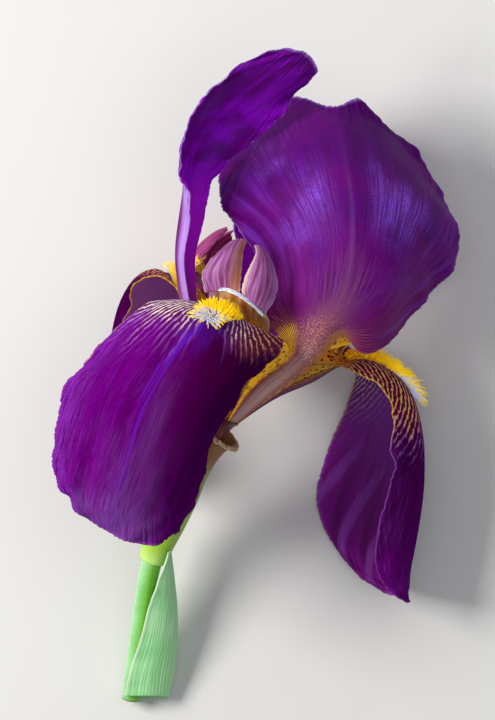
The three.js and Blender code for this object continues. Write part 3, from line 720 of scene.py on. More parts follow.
def fall_back_material(name, dark, pale, painted_sheen):
    """Painted sheen on slanting folds, dark veins partly painted as fold shade, over a golden claw with
    dark dots and a purple keel.
    """
    material, tree, shader = new_material(name)
    across, along, from_middle = surface_coordinates(tree)
    cells = use(tree, tissue, {"Cell size mm": 0.3})
    veins = use(tree, veining, {"Count": 12.0, "Wander": 0.08, "Fan": 3.0, "Forks at": 0.55})
    # Dark maroon veins high up: partly the veining, partly painted shade of the fold
    veined = rise(veins["Line"], 0.0, 0.6) * rise(along, 0.7, 0.42) * rise(from_middle, 0.2, 0.7)
    # Painted sheen on the slanting folds, on the upper side and low down towards the claw
    slanting = along - across * 0.75 + veins["Band"] * 0.06
    folds = rise(maths("SINE", slanting * FOLD_RATE + FOLD_START), 0.2, 0.95) * rise(along, 0.55, 0.72)
    upper = rise(across, 0.98, 0.7) * rise(along, 0.85, 0.55)
    painted_sheen_mask = maths("MAXIMUM", folds, upper) * rise(veins["Fibre"], 0.2, 0.6)
    # Cream feathers on a maroon flank, where the haft's lines show through
    flank = rise(across, 0.6, 0.9) * rise(along, 0.62, 0.44)
    feathers = use(tree, spraying, {"Count": 84.0, "Slant": 1.0, "Wander": 0.1})["Stripe"]
    dots = use(tree, dotting, {"Across": 22.0, "Along": 90.0})["Dot"]
    wall = layered(GOLD_BROWN, (rise(veins["Band"], 0.35, 0.65), GOLD), (dots * 0.9, MAROON))
    keel = mix(dots * 0.5, KEEL_PURPLE, MAROON)
    colour = layered(
        dark,
        (rise(veins["Band"], 0.34, 0.68), pale),
        (rise(veins["Striae"], 0.48, 0.62) * 0.4, dark),
        (rise(along, 0.7, 0.46) * 0.7, painted_sheen),
        (veined * 0.35, MAROON),
        (painted_sheen_mask * 0.66, painted_sheen),
        (flank * 0.5, MAROON),
        (flank * feathers * 0.7, CREAM),
        (at_rim(from_middle, along, 0.965, 0.985) * 0.55, mix(rise(along, 0.56, 0.66), GOLD, RIM_PALE)),
        (rise(veins["Striae"] * 0.15 + along, 0.5, 0.36), mix(rise(from_middle, 0.4, 0.75), keel, wall)),
    )
    finish_surface(tree, shader, colour, rise(cells["Tone"], -0.9, 1.5), cells["Height"], 0.1,
                   Specular_IOR_Level=0.1)
    return material


def on_bloom(bearing, out, up):
    """A point that stands out from the bloom's axis at a bearing, and up along it."""
    outward = AXIS_RIGHT * sin(radians(bearing)) + AXIS_FRONT * cos(radians(bearing))
    return BLOOM_BASE + out * outward + up * AXIS_UP


def claw_foot(bearing, ring):
    """The row of points where a claw stands on the tube's rim."""
    return [on_bloom(bearing + side * CLAW_HALF_ANGLE, ring, CLAW_GAP) for side in (-1, -0.5, 0, 0.5, 1)]


def petal(name, slot, rows, materials, seed, fray, ruffle):
    """A petal laid on its rows, with a finely cut, gently ruffled rim. Sizes in millimetres."""
    piece, u, v = new_grid(name, *PETAL_FACES)
    skin = Skin(rows, soften=PETAL_SOFTENING)
    wide_row = skin.points[-SKIN_ROWS // 4]
    width = np.linalg.norm(wide_row[-1] - wide_row[0])
    length = np.linalg.norm(np.diff(skin.points[:, SKIN_COLUMNS // 2], axis=0), axis=1).sum()
    # The rim is pulled in by small uneven teeth, more towards the end of the petal
    on_blade = np.clip((u - 0.35) / 0.2, 0, 1)
    teeth = (ripple(u, 80, seed), ripple(u, 80, seed + 1), ripple(v, 40, seed + 2))
    left, right, tip = (fray * on_blade * np.clip(0.5 + 0.5 * tooth, 0, 1) ** 1.5 for tooth in teeth)
    v_cut = v + left / width * (1 - v) ** 14 - right / width * v**14
    u_cut = u - tip / length * u**20
    # Ruffles rise off the surface towards the rim, and fine veins run over all of the blade
    edge = np.maximum(np.abs(2 * v - 1) ** 5, np.clip((u - 0.8) / 0.2, 0, 1) ** 3)
    waves = ripple(u + 0.35 * v, 6, seed + 3) + 0.3 * ripple(u - v, 24, seed + 4)
    lift = on_blade * (ruffle * edge * waves + 0.03 * ripple(v, 45, seed + 5))
    put_vertices(piece, skin.at(u_cut, v_cut, lift))
    for material in materials:
        piece.data.materials.append(material)
    thickened(piece, PETAL_WALL)
    finish_piece(piece, name, slot)
    return skin


FALL_BEARING = {"front": -18, "right": 113, "back": -124}
FALL_RING = 4.9
FALLS = {
    "front": [
        [(-13, 4, 56), (-10.5, 0.5, 60.5), (-6.5, -0.2, 62), (-2.5, 0.5, 60.5), (0, 4, 55.5)],
        [(-21, 16, 62), (-13.5, 14, 69), (-5.5, 13, 71.5), (2.5, 11, 70), (8, 9.5, 63.5)],
        [(-31, 25.5, 69), (-20.5, 25, 77), (-10, 21.5, 80.5), (0.5, 16.5, 78.5), (8.5, 12.5, 70)],
        [(-41, 21, 76), (-27.5, 22.8, 86.5), (-14, 18.5, 90.5), (-3, 12.3, 87.5), (8, 8.5, 77)],
        [(-53, 9, 81), (-35, 11.2, 94.5), (-17.5, 8.2, 99), (-6.5, 3.7, 95), (1, 2.5, 84)],
        [(-63.5, -5, 83), (-45, -6, 98), (-26, -9, 103.5), (-15, -10, 99), (-8.5, -9, 87)],
        [(-67, -22, 81.5), (-50, -24, 97), (-33, -27, 102), (-22.5, -27, 98), (-15.5, -25, 86.5)],
        [(-65, -35, 80), (-54, -39, 92), (-39, -42, 97), (-29, -42, 94), (-20, -39, 85.5)],
        [(-59.5, -42, 80), (-52, -49, 87), (-43, -53, 91), (-33.5, -54.5, 90), (-25.5, -50.5, 85)],
    ],
    "right": [
        [(2, -3, 47), (4.8, -6, 45), (5.8, -6.8, 41), (3.8, -4.2, 37.5), (1.2, 1.2, 35.2)],
        [(14, 3, 48.5), (17.5, -1, 45), (18, -1, 38), (13.5, 3.5, 32), (7, 14.5, 30)],
        [(26, 4.5, 47.5), (27.5, 4, 42), (27, 4.5, 34), (24, 7, 26), (19, 16, 23)],
        [(34, 1, 48), (35.5, 5, 40), (35, 6.5, 30.5), (32, 8, 22), (28.5, 12.5, 16.5)],
        [(41, -3, 49), (44, 0.5, 39), (43.5, 3.5, 28), (38, 4, 17), (33, 3.5, 11)],
        [(45.5, -11, 48.5), (50.5, -7.5, 38), (50.5, -4.5, 26), (41.5, -6, 13.5), (31, -6.5, 7)],
        [(44, -24, 47), (53.5, -22, 36), (54.5, -20, 22), (42, -21, 8.5), (25, -20.5, 3)],
        [(45, -33.5, 45), (54.5, -36, 34), (53.5, -37, 19), (39.5, -38, 6), (19.8, -37, 0.9)],
        [(40, -49, 42.5), (52, -53, 33.5), (51, -54, 19), (38, -54, 6), (22.5, -50.5, 0.9)],
        [(39.5, -63, 38), (49, -67, 33.5), (49.5, -67.5, 22), (40.5, -66, 11), (31, -63, 6)],
        [(44, -71, 34.5), (49, -74, 31.5), (51, -74.5, 26), (46, -72.5, 19), (39, -69.5, 13.5)],
    ],
    "back": [
        [(-11, 4, 33.5), (-13, 1.2, 34.5), (-16.5, 0, 37), (-18.5, 1.5, 40), (-18, 4.5, 43.2)],
        [(-9, 21, 21.5), (-15, 17.5, 23.5), (-21.5, 17, 30), (-23.5, 18.5, 37), (-22, 21, 43)],
        [(-12, 28, 12.5), (-18.5, 28.5, 17), (-25.5, 29, 25), (-26.8, 30, 34), (-25, 28, 42)],
        [(-18.5, 29, 8.5), (-25, 34, 13), (-30.5, 35, 20.5), (-33, 36, 30.5), (-33, 34, 40.5)],
        [(-23, 22, 4), (-31, 30, 8.5), (-37, 32, 16.5), (-40, 33.5, 27), (-39.5, 31, 37.5)],
        [(-26, 12, 2), (-36, 20, 5.5), (-43, 22, 13.5), (-46, 23.5, 24.5), (-43.5, 22, 35.5)],
        [(-26, -2, 0.9), (-38, 4, 3.4), (-46.5, 6, 12), (-49, 7, 24.5), (-45, 6, 37)],
        [(-25, -14, 0.9), (-38, -11, 3.4), (-46.5, -10, 13), (-48.5, -9.5, 26), (-42.5, -10, 38)],
        [(-25, -25, 3), (-36, -25, 6), (-44, -25, 15.5), (-45.5, -25, 27), (-38.5, -24, 36.5)],
        [(-29, -30, 7.5), (-35, -33, 11.5), (-39.5, -34.5, 19), (-39.5, -33.5, 27), (-35.5, -30, 33)],
    ],
}
golden_haft = {"ground_tone": HAFT_RED, "near_line": HAFT_GOLD, "far_line": HAFT_GOLD}
# On the front fall the lines near the beard are near-white cream: pale lines with painted highlight on them
creamy_haft = {"ground_tone": ROSE_BROWN, "near_line": CREAM, "far_line": TAN}
side_face = fall_face_material("side fall face", stripes=54.0, slant=1.0, reach=0.42, painted_shade_from=-0.5,
                               greyness=0.15, **golden_haft)
back_face = fall_face_material("back fall face", stripes=60.0, slant=1.0, reach=0.26, painted_shade_from=-0.5,
                               greyness=0.8, **golden_haft)
front_face = fall_face_material("front fall face", stripes=74.0, slant=0.0, reach=0.3, painted_shade_from=0.25,
                                greyness=0.65, **creamy_haft)
# Two copies of the underside painted for the light: darker, as painted shade, on the front and right falls,
# and lighter, as painted light against the shade, on the back fall
underside_painted_darker = fall_back_material("fall underside painted darker", FALL_UNDER, FALL_UNDER_PALE, UNDER_PAINTED_SHEEN)
underside_painted_lighter = fall_back_material("fall underside painted lighter", DUSK, DUSK_PALE, DUSK_PAINTED_SHEEN)
FALL_FACES = {
    "front": (front_face, underside_painted_darker),
    "right": (side_face, underside_painted_darker),
    "back": (back_face, underside_painted_lighter),
}
fall_skins = {}
for place, (side, rows) in enumerate(FALLS.items()):
    all_rows = [claw_foot(FALL_BEARING[side], FALL_RING), *rows]
    fall_skins[side] = petal(f"{side}_fall", "fall_petal", all_rows, FALL_FACES[side],
                             seed=100 + 10 * place, fray=0.35, ruffle=1.2)


# The standards: the three inner petals, silky and thinner. Each stands on a narrow rolled claw, speckled
# pinkish tan, and opens to a broad cupped blade that domes over the middle of the bloom.
STANDARD_VIOLET = srgb(94, 0, 130)
STANDARD_DEEP = srgb(72, 0, 90)
STANDARD_MAGENTA = srgb(100, 0, 112)
STANDARD_PAINTED_SHEEN = srgb(150, 100, 255)
STANDARD_ROSE = srgb(116, 12, 104)
INSIDE_ROSE = srgb(194, 19, 226)
INSIDE_VIOLET = srgb(176, 8, 246)
INSIDE_DEEP = srgb(146, 2, 204)
STANDARD_PALE = srgb(168, 128, 216)
STANDARD_LILAC = srgb(184, 146, 230)
CLAW_TAN = srgb(176, 104, 108)
CLAW_PALE = srgb(244, 214, 206)
CLAW_ROSE = srgb(122, 50, 76)
CLAW_GOLD = srgb(222, 158, 116)
CLAW_LILAC = srgb(122, 66, 108)
CLAW_MAUVE = srgb(112, 42, 104)
INSIDE_MAROON = srgb(244, 40, 222)
INSIDE_WINE = srgb(120, 40, 34)
WALL_TAN = srgb(176, 124, 66)
SHADE = srgb(0, 0, 0)
STANDARD_BEARING = {"left": -71, "right": 47, "back": 174}
STANDARD_RING = 4.3
STANDARDS = {
    "left": [
        [(-17.2, 5.5, 46.4), (-19.2, 5.8, 47.6), (-20.4, 6, 49.4), (-19.8, 6, 51), (-18.2, 6, 52.2)],
        [(-20, 27, 46), (-23.5, 27.5, 47.5), (-25.5, 28, 51), (-24.8, 27.5, 54), (-22.5, 27, 56.5)],
        [(-20.3, 41, 45), (-24.5, 41, 48), (-26.8, 41, 53), (-26.2, 40, 57), (-24, 39, 60.5)],
        [(-17.5, 52, 47), (-22.8, 52.5, 50.5), (-25.5, 53, 56.5), (-24.8, 52.5, 61), (-22, 52, 65.5)],
        [(-15, 64, 51), (-20, 65.5, 55), (-22.8, 66, 62), (-24, 65.5, 68), (-23.5, 65, 74)],
        [(-7, 73, 56), (-13.5, 76, 61.5), (-19, 77.5, 68.5), (-23.5, 77, 75.5), (-25.5, 75, 82)],
        [(3, 81.5, 61), (-2.5, 86, 67), (-9, 89, 73.5), (-15, 90, 79.5), (-19.5, 89, 84.5)],
        [(11, 90, 65.5), (7.5, 94, 71.5), (2, 97.5, 76.5), (-3.5, 99.5, 80.5), (-9, 100, 83.5)],
        [(20, 101, 70), (18.5, 104.5, 73.5), (15.5, 107, 76.5), (10, 108, 78.5), (3.5, 107, 79.5)],
    ],
    "right": [
        [(0.4, -1, 56.5), (1.4, -2.4, 58), (2.6, -3.8, 58.4), (4, -5, 57.8), (5.2, -6, 56)],
        [(11, 8.7, 62.5), (13, 8, 65), (15, 6.8, 65.8), (17.2, 5.2, 65), (19, 3.8, 62.5)],
        [(7, 14.5, 60), (14, 17, 66.5), (21.5, 17, 69.5), (25.5, 16, 68), (28.2, 14.2, 64.5)],
        [(5.5, 16.6, 57.5), (14, 21, 67.5), (25, 21.5, 71.5), (32, 18, 69), (34.5, 8, 58.5)],
        [(1.8, 20.5, 55.5), (13, 26, 69), (28.3, 28, 73.5), (39, 21, 68.5), (43.5, 11, 54.5)],
        [(1.5, 33, 53), (14, 37, 70), (30.7, 38, 76), (46, 32, 69), (53, 23.5, 50)],
        [(-3, 46, 51), (13, 50.5, 71), (31.3, 50, 77), (49, 46, 67), (62.5, 32.5, 47)],
        [(-11, 55, 50), (9, 62, 68), (30.7, 61, 75), (50, 58, 63.5), (67, 48, 44.5)],
        [(-13, 64.5, 47), (7.5, 73, 61.5), (28.8, 72, 70.5), (47, 70, 58.5), (61, 62.5, 42.5)],
        [(-11, 76, 44), (6.5, 84, 53), (26.8, 83, 63.5), (41, 80.5, 54), (51, 75.5, 42.5)],
        [(-1, 88, 42.5), (13.5, 93, 49.5), (25.4, 89.5, 58.5), (32.5, 91.5, 53.5), (41, 83.5, 46)],
    ],
    "back": [
        [(-1.5, -1, 35), (-3, -0.8, 34.2), (-4.5, -0.2, 33.8), (-6, 0.6, 34.2), (-7.3, 1.4, 35)],
        [(8, 13.5, 23.5), (5.5, 14.5, 21.5), (2, 15.5, 20.6), (-1.5, 16.5, 21), (-5, 17.5, 22.5)],
        [(26, 28, 19), (19, 29, 11.5), (9, 30.5, 8.5), (-1, 31.5, 12), (-7.5, 31, 21)],
        [(45, 40, 26), (34.5, 43.5, 10.5), (17, 45, 2.8), (1.5, 46, 10), (-6.5, 45, 25)],
        [(50, 54, 30), (40, 58, 11.5), (21, 59, 0.9), (3, 61, 10.5), (-6.5, 60, 28)],
        [(48, 67, 32), (40, 70, 15.5), (23.5, 71, 5), (7, 73, 14.5), (-3.5, 71.5, 30)],
        [(42, 76, 34), (36, 78, 23), (24, 80, 15), (12, 82, 22.5), (3, 80, 33)],
        [(37, 81, 37), (31, 84, 31), (23, 86, 27), (16, 86.5, 31), (9, 84, 37)],
    ],
}


def silk(tree, own_map, veins, ground, deep, low_tone, painted_sheen, lilac):
    """The blade: fine striae, painted bluish sheen to either side of its midrib, painted shade beside it,
    and a pale rim.
    """
    across, along, from_middle = own_map
    # The painted sheen lies on the swells, broken up by the striae, and painted highlights lie on thin
    # creases nearer the rims
    swell = rise(abs(from_middle - 0.46), 0.42, 0.05) * rise(along, 0.42, 0.7) * rise(along, 0.96, 0.74)
    painted_sheen_patches = swell * rise(speckle(tree, 45.0, detail=6.0), 0.36, 0.7)
    painted_sheen_patches = painted_sheen_patches * rise(veins["Striae"], 0.76, 0.36) * rise(veins["Fibre"], 0.9, 0.3)
    painted_sheen_patches = painted_sheen_patches * rise(speckle(tree, 1600.0, detail=1.0), 0.1, 0.6)
    painted_crease_highlights = rise(veins["Band"], 0.46, 0.6) * rise(veins["Fibre"], 0.3, 0.7)
    painted_crease_highlights = painted_crease_highlights * rise(from_middle, 0.45, 0.75) * rise(along, 0.36, 0.5) * rise(along, 0.84, 0.66)
    margin = rise(from_middle, 0.42, 0.8) * rise(along, 0.66, 0.5) * rise(veins["Striae"], 0.7, 0.45)
    # Painted shade in a narrow strip beside the midrib, where the blade folds away from it
    painted_fold_shade = rise(across, 0.505, 0.52) * rise(across, 0.62, 0.52) * rise(along, 0.42, 0.6)
    return layered(
        deep,
        (rise(veins["Band"], 0.36, 0.64), ground),
        (rise(speckle(tree, 60.0), 0.42, 0.62), STANDARD_MAGENTA),
        (rise(veins["Striae"], 0.48, 0.62) * 0.4, deep),
        (rise(veins["Fibre"], 0.45, 0.65) * 0.35, deep),
        (rise(along, 0.66, 0.46) * rise(from_middle, 0.2, 0.6) * 0.8, low_tone),
        (rise(along, 0.66, 0.94) * 0.7, STANDARD_DEEP),
        (maths("MAXIMUM", painted_sheen_patches, painted_crease_highlights * 0.22) * painted_sheen, STANDARD_PAINTED_SHEEN),
        (margin * lilac, STANDARD_LILAC),
        (rise(from_middle, 0.04, 0.0) * rise(along, 0.95, 0.5) * 0.08, STANDARD_LILAC),
        (painted_fold_shade * 0.4, deep),
        (at_rim(from_middle, along, 0.985, 0.99) * 0.6, STANDARD_PALE),
    )


def speckled_claw(tree, along, from_ridge, veins, shade):
    """A silvery ridge between tan flanks, finely speckled and striped; shade gives it inside tones."""
    grains = speckle(tree, 2700.0, detail=1.0)
    return layered(
        mix(rise(along, 0.08, 0.26), CLAW_PALE, CLAW_LILAC),
        (rise(from_ridge, 0.1, 0.5), mix(rise(along, 0.12, 0.3), CLAW_TAN, CLAW_MAUVE)),
        (rise(grains, 0.48, 0.6) * 0.5, CLAW_ROSE),
        (rise(grains, 0.52, 0.4) * rise(along, 0.4, 0.2) * 0.8, CLAW_GOLD),
        (rise(veins["Striae"], 0.48, 0.6) * 0.45, CLAW_ROSE),
        (rise(veins["Band"], 0.48, 0.6) * rise(along, 0.34, 0.2) * 0.45, CLAW_ROSE),
        (shade, mix(rise(along, 0.47, 0.38), INSIDE_MAROON, INSIDE_WINE)),
    )


def golden_walls(tree, across, along, veins, gold_to):
    """The claw's side walls, with dark dots that run together into stripes further up."""
    dots = use(tree, dotting, {"Across": 18.0, "Along": 80.0})["Dot"]
    stripes = rise(veins["Line"], 0.0, 0.08) * rise(along, 0.08, 0.16)
    marks = maths("MAXIMUM", dots * rise(along, 0.26, 0.16), stripes)
    tanned = maths("MAXIMUM", rise(speckle(tree, 90.0, detail=3.0), 0.4, 0.65), rise(across, 0.55, 0.9))
    rosy = rise(along, gold_to - 0.1, gold_to) * 0.75
    return layered(GOLD, (tanned, WALL_TAN), (rosy, STANDARD_ROSE), (marks, MAROON))


def standard_material(name, tones, painted_sheen, gold_to, claw_to=0.46, lilac=0.0, claw_shade=0.0):
    """Silk that feathers out along the veins from a speckled claw with golden walls."""
    material, tree, shader = new_material(name)
    own_map = surface_coordinates(tree)
    across, along, from_middle = own_map
    cells = use(tree, tissue, {"Cell size mm": 0.3})
    veins = use(tree, veining, {"Count": 16.0, "Wander": 0.08, "Fan": 3.0})
    colour = silk(tree, own_map, veins, *tones, painted_sheen, lilac)
    from_ridge = from_middle - rise(along, 0.2, 0.04) * 0.3
    claw = speckled_claw(tree, along, from_ridge, veins, claw_shade)
    ragged = (veins["Striae"] + veins["Fibre"] - 1.0) * 0.4
    colour = mix(rise(from_middle * 0.3 + along + ragged, claw_to, claw_to - 0.3), colour, claw)
    walls = golden_walls(tree, across, along, veins, gold_to)
    walled = rise(from_ridge + ragged, 0.5, 0.72) * rise(along + ragged, gold_to + 0.08, gold_to - 0.04)
    colour = mix(walled, colour, walls)
    # Painted glow: emission stands in for a little light through the thin blade, and more through the
    # golden walls
    feed(shader.inputs["Emission Color"], mix(walled, mix(0.86, colour, SHADE), walls))
    finish_surface(tree, shader, colour, rise(cells["Tone"], -1.0, 1.8), cells["Height"], 0.08,
                   Specular_IOR_Level=0.08, Emission_Strength=0.32)
    return material


# The ground, the deep tone of its veins, and the tone low on the blade
INSIDE_TONES = (INSIDE_VIOLET, INSIDE_DEEP, INSIDE_ROSE)
OUTSIDE_TONES = (STANDARD_VIOLET, STANDARD_DEEP, STANDARD_ROSE)
standard_inside = standard_material("standard inside", INSIDE_TONES,
                                    painted_sheen=0.3, gold_to=0.1, claw_to=0.6, claw_shade=0.85)
standard_outside = standard_material("standard outside", OUTSIDE_TONES,
                                     painted_sheen=1.0, gold_to=0.35, claw_to=0.64)
lilac_outside = standard_material("lilac standard outside", OUTSIDE_TONES,
                                  painted_sheen=0.6, gold_to=0.14, lilac=1.0)
STANDARD_OUTSIDES = {"left": lilac_outside, "right": standard_outside, "back": standard_outside}
for place, (side, rows) in enumerate(STANDARDS.items()):
    all_rows = [claw_foot(STANDARD_BEARING[side], STANDARD_RING), *rows]
    petal(f"{side}_standard", "standard_petal", all_rows, (standard_inside, STANDARD_OUTSIDES[side]),
          seed=200 + 10 * place, fray=0.45, ruffle=1.3)


# The style arms: three waxy straps that arch over the falls, the front one tan and the right one golden;
# the back one is painted a deeper magenta, as painted shade. Each has grown as one piece with two upright
# fringed crests, and with the small flap of the stigma below them.
ARM_LILAC = srgb(166, 106, 166)
ARM_ROSE = srgb(120, 44, 100)
ARM_GOLD = srgb(176, 112, 50)
ARM_CREAM = srgb(222, 196, 170)
STRAP_TAN = srgb(226, 190, 140)
STIGMA_GREY = srgb(196, 200, 222)
CREST_PALE = srgb(196, 140, 204)
STIGMA_ICE = srgb(240, 246, 255)
BACK_ARM_PAINTED_SHADE = srgb(162, 56, 130)
BACK_ARM_DEEP_PAINTED_SHADE = srgb(120, 24, 72)
STYLE_STRAP = [
    [(-12, -12.3, 47.2), (-11.4, -12.5, 47.8), (-10.8, -12.8, 48), (-10.2, -13, 47.8), (-9.6, -13.3, 47.2)],
    [(-10.5, 4, 52.5), (-8, 4.5, 54.5), (-5.5, 4, 55.2), (-3, 3.4, 54.5), (-1, 2, 52.5)],
    [(-12, 16, 59.5), (-8.5, 16.8, 62.3), (-4.5, 15.8, 63.3), (-0.5, 14.5, 62.3), (3, 12, 59.5)],
    [(-15.5, 25, 68), (-11, 25.8, 71.8), (-6, 24, 73.3), (-0.5, 21.5, 72), (4, 17.5, 68.5)],
    [(-15.5, 29, 75.5), (-11, 29, 78), (-5.5, 26.8, 79.3), (-1, 24, 78.6), (2.8, 20.5, 76.5)],
]
STIGMA = [
    [(-12.5, 29.8, 77.2), (-8.8, 29.2, 78.6), (-5, 27.2, 79.3), (-1, 24.2, 78.8), (2.4, 20.8, 77.2)],
    [(-12.7, 28.7, 78.4), (-9, 28.1, 79.9), (-5.2, 26.1, 80.7), (-1.1, 23.2, 80.1), (2.1, 20, 78.3)],
]
LEFT_CREST = [
    [(-17, 28, 74), (-14.5, 28.5, 76.5), (-11.5, 28.5, 77.5), (-8.5, 28, 78.2), (-5.5, 26.8, 78.5)],
    [(-18, 34, 74.5), (-15.5, 34.8, 78), (-12, 35.2, 79.5), (-8.3, 35, 79), (-5, 34.5, 77)],
    [(-14, 40, 75), (-11.8, 41, 77.5), (-9.2, 41.6, 78.5), (-6.6, 41.4, 78), (-4.6, 40.6, 76.2)],
    [(-8.6, 44.6, 73), (-7.4, 45.4, 73.8), (-6, 45.9, 74), (-4.6, 45.9, 73.6), (-3.4, 45.2, 72.8)],
]
RIGHT_CREST = [
    [(-5, 26.5, 78.3), (-3, 25.6, 79.2), (-0.8, 24.2, 79.3), (1.4, 22.6, 78.5), (2.8, 20.8, 77.5)],
    [(-4.8, 30.5, 79), (-2.2, 30.2, 80.6), (0.8, 29.4, 80.4), (3.8, 28, 78.5), (6, 26.2, 75.5)],
    [(-3, 35.5, 79), (-0.7, 35.2, 79.8), (2, 34.4, 79.2), (4.7, 33.2, 77.2), (6.8, 31.8, 74.4)],
    [(-0.4, 41, 76.8), (0.6, 40.8, 77.2), (2, 40.2, 76.8), (3.6, 39.2, 75.6), (4.8, 38, 74)],
    [(-1, 43.8, 74.8), (-0.3, 43.9, 75), (0.6, 43.8, 74.9), (1.6, 43.3, 74.4), (2.3, 42.8, 73.6)],
]
ARM_BEARING = -24
# How far each arm is turned about the axis, and then raised off its own fall, in degrees
ARM_POSES = {"front": (0, 0), "right": (131, 7), "back": (-102, 3)}
# Where a colour rises, as shares of the way across
NOWHERE = (2.0, 3.0)
EVERYWHERE = (-1.0, -0.5)


def arm_material(name, ground, shade, rim, golden_over=NOWHERE, dotted_to=-1.0, rim_from=0.92,
                 rim_over=EVERYWHERE, light=0.0):
    """Waxy flesh with fine striae and a dotted foot. Golden brown and the rim's own colour rise over
    the given shares of the way across; elsewhere the rim is pale."""
    material, tree, shader = new_material(name)
    across, along, from_middle = surface_coordinates(tree)
    cells = use(tree, tissue, {"Cell size mm": 0.25})
    veins = use(tree, veining, {"Count": 9.0, "Wander": 0.08, "Forks at": 0.5})
    golden = rise(veins["Band"] * 0.3 + across, *golden_over) * rise(veins["Striae"], 0.2, 0.6)
    dots = use(tree, dotting, {"Across": 9.0, "Along": 34.0})["Dot"]
    dotted = rise(veins["Striae"] * 0.15 + along, dotted_to + 0.1, dotted_to)
    colour = layered(
        shade,
        (rise(veins["Band"], 0.4, 0.6), ground),
        (rise(veins["Striae"], 0.45, 0.65) * 0.3, shade),
        (golden, ARM_GOLD),
        (rise(from_middle, rim_from, 1.0) * 0.8, mix(rise(across, *rim_over), CREST_PALE, rim)),
        (dotted, mix(dots * 0.85, GOLD, MAROON)),
    )
    # Painted glow: the colour also glows as emission by the given light, lifting arms that lie in shade
    feed(shader.inputs["Emission Color"], colour)
    finish_surface(tree, shader, colour, rise(cells["Tone"], -0.9, 1.7), veins["Striae"], 0.08,
                   Coat_Weight=0.1, Coat_Roughness=0.35, Specular_IOR_Level=0.2, Emission_Strength=light)
    return material


def arm_part(name, rows, material, seed, faces, wall, fringe):
    """One flap of an arm, with a fringed and slightly curled rim. Sizes in millimetres."""
    piece, u, v = new_grid(name, *faces)
    edge = np.abs(2 * v - 1)
    end_teeth = np.clip(ripple(v, 6, seed) * 0.5 + 0.5, 0, 1)
    side_teeth = np.clip(ripple(u, 9, seed + 1) * 0.5 + 0.5, 0, 1)
    u_cut = u - fringe * end_teeth * u**6
    v_cut = v + fringe * 0.6 * side_teeth * edge**4 * np.sign(0.5 - v)
    curl = fringe * 4.2 * edge**3 * ripple(u, 4, seed + 2)
    put_vertices(piece, Skin(rows, soften=8).at(u_cut, v_cut, curl))
    piece.data.materials.append(material)
    thickened(piece, wall, materials=1)
    return piece


arm_strap = arm_material("style strap", STRAP_TAN, ARM_GOLD, ARM_CREAM,
                         dotted_to=0.66, rim_from=0.5, rim_over=(0.4, 0.8))
left_crest_skin = arm_material("left crest skin", ARM_LILAC, ARM_ROSE, ARM_CREAM, golden_over=(0.7, 1.1))
right_crest_skin = arm_material("right crest skin", ARM_LILAC, ARM_ROSE, ARM_CREAM,
                                rim_from=0.6, rim_over=(0.6, 0.4))
stigma_skin = arm_material("stigma skin", STIGMA_ICE, STIGMA_GREY, STIGMA_ICE)
# The back arm's flesh: the arm's tones painted deeper as painted shade, with a little painted glow
back_arm_painted_shade = arm_material("back arm painted shade", BACK_ARM_PAINTED_SHADE, BACK_ARM_DEEP_PAINTED_SHADE, BACK_ARM_DEEP_PAINTED_SHADE,
                             dotted_to=0.3, light=0.12)
golden_strap = arm_material("golden style strap", GOLD_BROWN, MAROON, GOLD_BROWN,
                            dotted_to=1.2, light=0.25)
crest = {"faces": (60, 50), "wall": 0.4, "fringe": 0.05}
front_arm = joined(
    arm_part("front_style_arm", STYLE_STRAP, arm_strap, seed=301, faces=(60, 30), wall=0.9, fringe=0.0),
    arm_part("stigma", STIGMA, stigma_skin, seed=302, faces=(12, 60), wall=0.45, fringe=0.16),
    arm_part("left_crest", LEFT_CREST, left_crest_skin, seed=303, **crest),
    arm_part("right_crest", RIGHT_CREST, right_crest_skin, seed=304, **crest),
)
across_arm = AXIS_RIGHT * cos(radians(ARM_BEARING)) - AXIS_FRONT * sin(radians(ARM_BEARING))
for side, (turn, lift) in ARM_POSES.items():
    arm = front_arm
    if side != "front":
        arm = front_arm.copy()
        arm.data = front_arm.data.copy()
        arm.name = arm.data.name = f"{side}_style_arm"
        bpy.context.scene.collection.objects.link(arm)
        raised = Matrix.Rotation(-radians(lift), 4, Vector(across_arm))
        turned = Matrix.Rotation(radians(turn), 4, Vector(AXIS_UP))
        base = Matrix.Translation(Vector(BLOOM_BASE) * MM)
        arm.data.transform(base @ turned @ raised @ base.inverted())
    if side == "right":
        arm.data.materials[0] = golden_strap
    # The back arm is dressed all over in its painted shade flesh
    if side == "back":
        for place in range(len(arm.data.materials)):
            arm.data.materials[place] = back_arm_painted_shade
    finish_piece(arm, f"{side}_style_arm", "style_arm")


# The stamens: one under each style arm, a thin pale filament with a long anther whose two halves are
# dusted with cream pollen.
STAMEN_CREAM = srgb(232, 224, 190)
POLLEN = srgb(206, 190, 140)
FILAMENT_RADIUS = 0.5
FILAMENT_PATH = [(3.9, 1.1), (8.4, 9), (13.4, 17.6), (19.4, 24.6)]
ANTHER_RADIUS = 1
ANTHER_PATH = [(18.4, 23.6), (23.4, 27.6), (28.4, 31)]

stamen_flesh, tree, shader = new_material("stamen flesh")
cells = use(tree, tissue, {"Cell size mm": 0.2})
grains = speckle(tree, 3000.0)
colour = mix(rise(grains, 0.4, 0.65), STAMEN_CREAM, POLLEN)
finish_surface(tree, shader, colour, rise(grains, -0.6, 1.2), cells["Height"], 0.15)


def filament_radius(u):
    return np.full_like(u, FILAMENT_RADIUS)


def anther_radius(u):
    return ANTHER_RADIUS * np.sqrt(1 - 0.9 * (2 * u - 1) ** 2)


